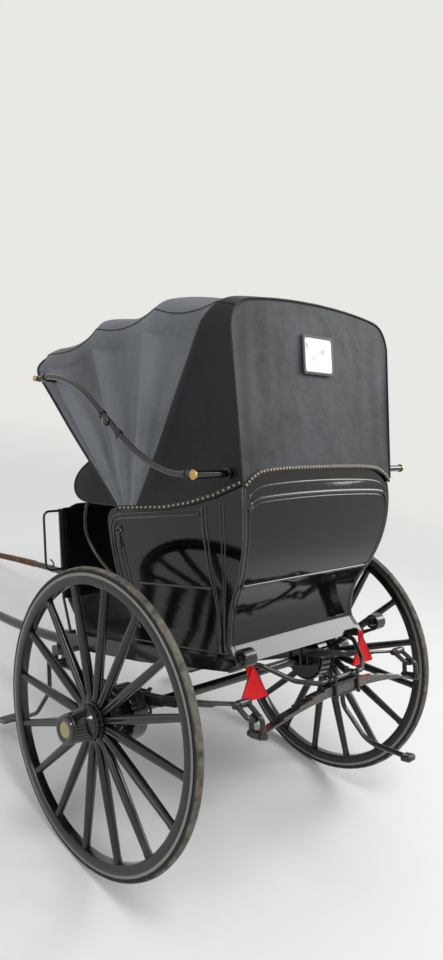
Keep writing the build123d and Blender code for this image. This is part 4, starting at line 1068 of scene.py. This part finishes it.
def cloth_piece(name, rows, paleness, replaced):
    """A sheet of the hood: the grid faces outwards, is thickened inwards, and carries its paleness, wear with
    painted shade on the sides.
    """
    piece = add_piece(name, [(rows, False, False)], cloth, replaced, 30)
    mesh = piece.data
    middle = Vector(tipped((0.0, 0.0, 1.9)))
    outward = sum((f.center - middle).dot(f.normal) * f.area for f in mesh.polygons)
    if outward < 0:
        mesh.flip_normals()
    mark(mesh, "paleness", paleness.reshape(-1)[nearest(tipped(rows).reshape(-1, 3), places_of(mesh))])
    mesh.materials.append(lining)
    body = piece.modifiers.new("thickness", "SOLIDIFY")
    body.thickness = cloth_thick
    body.offset = -1.0
    body.material_offset = 1
    body.material_offset_rim = 0


# The cloth is palest on the sides, palest of all next to the bows, and blackest in the quarters.
# On the sides each bay is painted lighter at its front and darker at its rear, and striped light
# and dark along its folds, as painted shade.
ridge = np.abs(2 * across_bay - 1)[:, None] ** 3
# painted shade: light and dark stripes along the folds of the side bays
painted_fold_shade = 0.07 * np.sin(2 * math.pi * (9 * sweep_no ** 1.1 + 0.8 * up)) * np.sin(math.pi * up ** 0.7)
# painted shade: each side bay lighter at its front and darker at its rear
slope = 0.15 * (1 - 2 * across_bay)[:, None]
side_wear_and_shade = np.where(fan_row, 0.78 + slope + 0.14 * ridge + painted_fold_shade, 0.02)
column_no = np.arange(roof_x.shape[1])
fade = soft_step(np.minimum(column_no, column_no[::-1]) / 12)[None]
wear_roof = np.where(fan_row, 0.62 + 0.16 * ridge, 0.03 + 0.45 * fade)
cover_wear_and_shade = np.concatenate([side_wear_and_shade, wear_roof, side_wear_and_shade[:, ::-1]], 1)
cloth_piece("hood_cloth", cover, cover_wear_and_shade, ["hood_cover"])

# Rear curtain: a second sheet of the same leather cloth, from the tail's nailed arch up to the
# roof's rear edge, where it is sewn to the cover. It hangs a little hollow, creased at its sides.
tail_top = np.array([(0.0, 1.570), (0.360, 1.566), (0.432, 1.538), (0.474, elbow_z)])
curtain_feet = [nailed_x, 0.462, 0.432, 0.30, 0.0, -0.30, -0.432, -0.462, -nailed_x]
low_x = np.interp(np.linspace(0, 1, roof_x.shape[1]), np.linspace(0, 1, len(curtain_feet)), curtain_feet)
low_z = np.interp(np.abs(low_x), tail_top[:, 0], tail_top[:, 1]) - strap_drop
rise = np.linspace(0, 1, 40)[:, None]
curtain_x = low_x + (roof_x[-1] - low_x) * rise
curtain_z = low_z + (roof_z[-1] - low_z) * rise
edge_x = nailed_x + (hip_x - nailed_x) * np.clip((curtain_z - elbow_z) / (roof_z[-1, 0] - elbow_z), 0, 1)
share = np.clip(np.abs(curtain_x) / edge_x, 0, 1)
curtain_hollow, fold_deep, curtain_off = 0.010, 0.0025, 0.0004
soft = curtain_hollow * np.sin(math.pi * rise) * (1 - share ** 6)
folds = fold_deep * np.sin(9 * math.pi * share) * np.sin(math.pi * rise) * share ** 2
curtain = np.stack([curtain_x, hood_back + curtain_off - soft - folds, curtain_z], -1)
curtain_wear = 0.27 + 0.08 * np.abs(np.sin(3.0 * curtain_x + 2.0 * curtain_z))
cloth_piece("hood_curtain", curtain, curtain_wear, ())

# Hood trims: piped seams where roof, sides and curtain are sewn together, a rolled welt round the
# front edge, and a strap of leather along the body with domed brass nails driven through it.
trim_leather = leather("smooth black trim leather", "#0E0E10", "#242528", 0.77, 0.38, 0.25)
nail_brass = bare_metal("weathered brass nails", "#948975", 0.30, 3.33)
seam_column, seam_off = side_count + 4, 0.0005
trims = [tube(cover[:, column] + [hand * seam_off, 0, seam_off], 0.0026, 8)
         for hand, column in ((1, seam_column), (-1, cover.shape[1] - 1 - seam_column))]
trims.append(tube(dense(cover[0], 0.012) + [0, -0.002, 0], 0.0062, 10))
trims.append(tube(dense(cover[-1], 0.010) + [0, 0.0010, 0], 0.0040, 10))
add_piece("hood_piping", trims, trim_leather)
strap_wide, strap_thick, nail_r, side_pitch, tail_pitch = 0.020, 0.0030, 0.0064, 0.0290, 0.0185
strap_off, tail_strap_off = 0.0003, 0.0006


def band(path, out):
    """A flat strap along a path, with a thin rounded box as its section, that lies on what faces out."""
    run = np.gradient(path, axis=0)
    run /= np.linalg.norm(run, axis=1)[:, None]
    across = np.cross(run, out)
    across /= np.linalg.norm(across, axis=1)[:, None]
    corners = np.array([(-0.5, 0.0), (-0.5, 0.7), (-0.42, 1.0), (0.42, 1.0), (0.5, 0.7), (0.5, 0.0)])
    rows = path[:, None] + across[:, None] * corners[None, :, :1] * strap_wide
    return capped(rows + np.asarray(out) * corners[:, 1:] * strap_thick), False, True


def domed_nails(path, out, pitch):
    """Domed nail heads at an even pitch along a path, standing out from it."""
    spots = places_at(path, np.arange(pitch / 2, travelled(path)[-1], pitch))
    dome = np.array([(1.0, 0.0), (0.98, 0.22), (0.80, 0.52), (0.45, 0.74), (0.0, 0.82)]) * nail_r
    return turned_heads(spots, out, dome, 12, (0, 0, 1))


side_nails = dense(nail_line, 0.010)
tail_nails = dense(softened(both_halves(tail_top[::-1]), 2), 0.010)
lines = [(at_x(side_nails, hand * (nailed_x + strap_off)), (hand, 0, 0), side_pitch) for hand in (1, -1)]
lines.append((at_y(tail_nails, hood_back + tail_strap_off), (0, 1, 0), tail_pitch))
domes = [domed_nails(path + np.array(out) * strap_thick, out, pitch) for path, out, pitch in lines]
add_piece("nail_strap", [band(path, out) for path, out, _ in lines], trim_leather)
add_piece("brass_nails", sum(domes, []), nail_brass, (), 60)

# Rear light: a cloudy white celluloid pane sewn behind an opening in the curtain, which is bound
# with a narrow border of greyed leather.
# Old celluloid is milky, with yellowed clouds about 6 cm wide.
pane_white, tree, shader, place = new_finish("cloudy white celluloid")
mist = add(tree, "ShaderNodeTexNoise", {"Vector": (place, "Object"), "Scale": per_metre(58.8),
                                        "Detail": 7.0, "Roughness": 0.62})
tint = stops(add(tree, "ShaderNodeValToRGB", {"Fac": (mist, "Fac")}),
             (0.30, "#A9A597"), (0.44, "#D3D4D2"), (0.62, "#EBECEA"))
wire(shader, {"Base Color": (tint, "Color"), "Roughness": 0.3})
border_leather = leather("grey window binding", "#4B4C4E", "#606163", 0.77, 0.55, 0.25)
window_half, window_low, window_high, window_back = 0.095, 1.9470, 2.1000, hood_back + 0.0045


def window_loop(half_wide, corner, deep):
    """The window's outline with rounded corners at a half width, deep in front of its border. It
    grows or shrinks as much above and below as at its sides."""
    grow = half_wide - window_half
    x, high, low = half_wide - corner, window_high + grow - corner, window_low - grow + corner
    a = np.linspace(0, math.pi / 2, 8)
    bend = np.stack([np.cos(a), np.sin(a)], -1) * corner
    return at_y(np.vstack([bend + [x, high], bend[::-1] * [-1, 1] + [-x, high], -bend + [-x, low],
                           bend[::-1] * [1, -1] + [x, low]]), window_back - deep)


border = np.stack([window_loop(half, 0.012, deep) for half, deep in
                   ((0.0870, 0.004), (0.0870, 0.001), (0.0880, 0.0), (0.0970, 0.0), (0.0985, 0.001),
                    (0.0985, 0.006))])
pane = capped(np.stack([window_loop(half, 0.010, 0.0014) for half in (0.0880, 0.0600, 0.0300)]))[1:]
add_piece("window_pane", [(pane, False, True)], pane_white, ["rear_window"])
add_piece("window_border", [(border, False, True)], border_leather)

# Hood stays and wings: each stay is one S-shaped bar of round iron on two stubs, with a ball knuckle
# and turned collars at its joint. Each wing is a padded leather ear sewn under the hood's front.
stay_paint = painted("black stay enamel", "#050506", "#3A372F", 0.04, 0.09, 71.4, 0.5)
ear_leather = leather("dull black ear leather", "#060607", "#101012", 0.77, 0.5, 0.25, specular=0.28)
# columns: x, y, z of the bar's middle line, from the front stub back
stay_line = np.array([
    (0.600, -0.522, 2.041), (0.600, -0.457, 2.046), (0.602, -0.377, 2.032), (0.604, -0.300, 2.008),
    (0.606, -0.240, 1.983), (0.610, -0.166, 1.941), (0.615, -0.094, 1.887), (0.620, -0.024, 1.828),
    (0.623, 0.022, 1.795), (0.628, 0.083, 1.740), (0.635, 0.196, 1.660), (0.642, 0.316, 1.600),
    (0.648, 0.429, 1.564), (0.655, 0.556, 1.556)])
stay_bar = dense(softened(stay_line, 2), 0.012)
stay_r, collar_r, knuckle_at = 0.0135, 0.0180, (0.636, 0.022, 1.795)
# columns: stub's y, z, inner x, outer x and radius, and its brass disc's radius
stubs = [(-0.530, 2.045, 0.509, 0.618, 0.0120, 0.0130), (0.556, 1.556, 0.486, 0.668, 0.0150, 0.0185)]


def collar(middle, way, long, radius):
    """A turned ring with eased ends round a bar, standing along way."""
    way = np.asarray(way) / np.linalg.norm(way)
    steps = np.array([-0.5, -0.42, 0.42, 0.5]) * long
    return tube(middle + np.outer(steps, way), np.array([0.82, 1.0, 1.0, 0.82]) * radius, 20)


discs = []
for side, hand in sides:
    flip = np.array([hand, 1.0, 1.0])
    iron = [tube(stay_bar * flip, stay_r, 16), ball(flip * knuckle_at, collar_r)]
    for y, z, start, end, r, disc_r in stubs:
        bar = [(hand * x, y, z) for x in (start, start + 0.002, end - 0.002, end)]
        iron.append(tube(bar, [r * 0.9, r, r, r * 0.9], 24))
        iron.append(collar(np.array([hand * (start + 0.010), y, z]), (1, 0, 0), 0.014, r * 1.35))
        disc = [(0.0, -0.002), (disc_r, -0.002), (disc_r, 0.0028), (disc_r * 0.86, 0.0040),
                (disc_r * 0.80, 0.0032), (0.0, 0.0036)]
        discs += turned_heads([(hand * end, y, z)], (hand, 0, 0), disc, 28, (0, 0, 1))
    for y, long in ((-0.024, 0.020), (0.083, 0.024), (-0.470, 0.016), (0.500, 0.018)):
        k = int(np.argmin(np.abs(stay_bar[:, 1] - y)))
        iron.append(collar(stay_bar[k] * flip, (stay_bar[k + 1] - stay_bar[k - 1]) * flip, long, collar_r))
    add_piece(f"stay_bar_{side}", iron, stay_paint, [f"hood_stay_{side}"], 30)
add_piece("stay_discs", discs, brass, (), 30)
ear = softened([(-0.136, 1.4495), (-0.250, 1.4590), (-0.368, 1.4710), (-0.425, 1.4900), (-0.452, 1.5200),
                (-0.456, 1.5510), (-0.436, 1.5880), (-0.395, 1.6200), (-0.350, 1.6420), (-0.3190, 1.6560)], 2)
ear_edge = dense_loop(ear, 0.010)
heart = ear_edge.mean(0)
# columns: share of the way from the ear's heart to its edge, and x
ear_form = [(0.0, 0.4760), (1.0, 0.4760), (1.0, 0.4800), (0.93, 0.4832), (0.7, 0.4856), (0.35, 0.4866),
            (0.0, 0.4868)]
for side, hand in sides:
    layers = [at_x(heart + (ear_edge - heart) * share, hand * x) for share, x in ear_form]
    add_piece(f"wing_pad_{side}", [(np.stack(layers), False, True)], ear_leather,
              [f"wing_flap_{side}"], 50)
    rim = tube(at_x(ear_edge, hand * 0.4795), 0.0050, 10, True)
    add_piece(f"wing_welt_{side}", [rim], trim_leather)

# Reflectors: pressed red plastic triangles with a raised smooth rim round a field of small prisms,
# each held by one corner below a rear scroll.
reflector_side, reflector_x, reflector_top, reflector_back = 0.150, 0.360, 0.818, 0.5082

# Red plastic with square prisms 5 mm wide, a deep red painted brighter at each prism's middle: painted
# glints of the light it throws back. The prisms' columns are turned with the parked gig, and drawn
# alike through the plate's thickness.
red, tree, shader, place = new_finish("red prismatic plastic")
level = add(tree, "ShaderNodeMapping", {"Vector": (place, "Object"), "Rotation": (tip_angle, 0.0, 0.0),
                                        "Scale": (1.0, 1000.0, 1.0)}, vector_type="TEXTURE")
prisms = add(tree, "ShaderNodeTexVoronoi", {"Vector": (level, "Vector"), "Scale": per_metre(4.76),
                                            "Randomness": 0.0})
facets = add(tree, "ShaderNodeBump", {"Height": (prisms, "Distance"), "Strength": 0.7, "Distance": 0.002})
painted_glints = stops(add(tree, "ShaderNodeValToRGB", {"Fac": (prisms, "Distance")}),
              (0.1, "#FF1822"), (0.6, "#D00B18"))
wire(shader, {"Base Color": (painted_glints, "Color"), "Normal": (facets, "Normal"), "Roughness": 0.16,
              "Specular IOR Level": 0.25})
rim_red, tree, shader, place = new_finish("smooth red plastic rim")
wire(shader, {"Base Color": linear("#CC0C18"), "Roughness": 0.2})
high = reflector_side * math.sqrt(3) / 2
for side, hand in sides:
    repainted(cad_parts[f"reflector_{side}"], red)
    tip = np.array([hand * reflector_x, reflector_top])
    middle = tip - [0, high * 2 / 3]
    triangle = np.array([tip, tip + [reflector_side / 2, -high], tip + [-reflector_side / 2, -high]])
    inner = dense_loop(middle + (triangle - middle) * 0.97, 0.01)
    add_piece(f"reflector_rim_{side}", [tube(at_y(inner, reflector_back), 0.0028, 8, True)], rim_red)


# Floor, light and camera: a plain pale floor that fades into an even pale surround, a broad soft
# lamp above and behind, weaker ones to both sides, and the camera at the photograph's angle.
def emptied(owner):
    """The node tree of a world or a material, with its first nodes taken out."""
    owner.use_nodes = True
    owner.node_tree.nodes.clear()
    return owner.node_tree


def seen_plainly(tree):
    """1 for camera, glossy and transmission rays, which all meet the plain pale surround."""
    path = add(tree, "ShaderNodeLightPath")
    both = add(tree, "ShaderNodeMath", {0: (path, "Is Camera Ray"), 1: (path, "Is Glossy Ray")},
               operation="MAXIMUM")
    return add(tree, "ShaderNodeMath", {0: (both, "Value"), 1: (path, "Is Transmission Ray")},
               operation="MAXIMUM")


# The surround lights the gig softly from all round, dark at its foot and bright at its top.
pale = linear("#E9E8E5")
world = bpy.data.worlds.new("pale surround")
scene.world = world
tree = emptied(world)
place = add(tree, "ShaderNodeTexCoord")
split = add(tree, "ShaderNodeSeparateXYZ", {"Vector": (place, "Generated")})
rise = add(tree, "ShaderNodeMapRange", {"Value": (split, "Z"), "From Min": -0.2, "From Max": 0.9})
heights = stops(add(tree, "ShaderNodeValToRGB", {"Fac": (rise, "Result")}),
                (0.0, "#6E6A62"), (0.2, "#565B54"), (0.42, "#8E939A"), (0.75, "#F2F4F8"))
light = add(tree, "ShaderNodeBackground", {"Color": (heights, "Color"), "Strength": 0.85})
plain = add(tree, "ShaderNodeBackground", {"Color": pale, "Strength": 1.0})
mixed = add(tree, "ShaderNodeMixShader", {0: (seen_plainly(tree), "Value"), 1: (light, "Background"),
                                          2: (plain, "Background")})
add(tree, "ShaderNodeOutputWorld", {"Surface": (mixed, "Shader")})

floor_finish = bpy.data.materials.new("pale plain floor")
tree = emptied(floor_finish)
place = add(tree, "ShaderNodeTexCoord")
away = add(tree, "ShaderNodeVectorMath", {0: (place, "Object")}, operation="LENGTH")
fade = add(tree, "ShaderNodeMapRange", {"Value": (away, "Value"), "From Min": 2.2, "From Max": 7.5},
           interpolation_type="SMOOTHSTEP")
matt = add(tree, "ShaderNodeBsdfDiffuse", {"Color": pale})
glow = add(tree, "ShaderNodeEmission", {"Color": pale, "Strength": 1.0})
seen = add(tree, "ShaderNodeMath", {0: (fade, "Result"), 1: (seen_plainly(tree), "Value")},
           operation="MULTIPLY")
mixed = add(tree, "ShaderNodeMixShader", {0: (seen, "Value"), 1: (matt, "BSDF"), 2: (glow, "Emission")})
add(tree, "ShaderNodeOutputMaterial", {"Surface": (mixed, "Shader")})
floor_half = 30.0
mesh = bpy.data.meshes.new("floor")
corners = [(x * floor_half, y * floor_half, 0) for x, y in ((-1, -1), (1, -1), (1, 1), (-1, 1))]
mesh.from_pydata(corners, [], [(0, 1, 2, 3)])
placed("floor", mesh, floor_finish)


def soft_lamp(name, place, target, size, power):
    """A square area lamp that faces a point."""
    lamp = bpy.data.lights.new(name, "AREA")
    lamp.size = size
    lamp.energy = power
    holder = placed(name, lamp)
    holder.location = place
    holder.rotation_euler = (Vector(target) - Vector(place)).to_track_quat("-Z", "Y").to_euler()


soft_lamp("key", (1.5, 3.2, 6.5), (0, 1.0, 1.0), 1.9, 140)
soft_lamp("fill", (6.0, 0.5, 2.6), (0, 0.8, 1.2), 2.8, 46)
soft_lamp("back", (-3.9, 2.6, 4.0), (0, 1.3, 1.0), 2.1, 96)

# The camera's place and turn were solved with the gig tipped 4 degrees, and turn with it from there.
solved_tip = math.radians(4.0)
yaw, pitch, roll = -0.7857, 0.0406, 0.0008
solved_place = Vector((2.5101, 2.469, 1.6837))
focal_pixels, long_side_pixels = 768.495, 960
lens = bpy.data.cameras.new("camera")
lens.sensor_width = 36.0
lens.sensor_fit = "AUTO"
lens.lens = focal_pixels / long_side_pixels * lens.sensor_width
camera = placed("camera", lens)
look = Vector((math.sin(yaw) * math.cos(pitch), -math.cos(yaw) * math.cos(pitch), -math.sin(pitch)))
right = look.cross(Vector((0, 0, 1))).normalized()
above = right.cross(look)
right, above = (right * math.cos(roll) + above * math.sin(roll),
                above * math.cos(roll) - right * math.sin(roll))
turn = Matrix.Rotation(tip_angle - solved_tip, 3, "X")
spot = turn @ (solved_place - Vector((0, 0, axle_z))) + Vector((0, axle_y, axle_z))
facing = Matrix((turn @ right, turn @ above, -(turn @ look))).transposed().to_4x4()
camera.matrix_world = Matrix.Translation(spot) @ facing
scene.camera = camera
scene.view_settings.view_transform = "Standard"
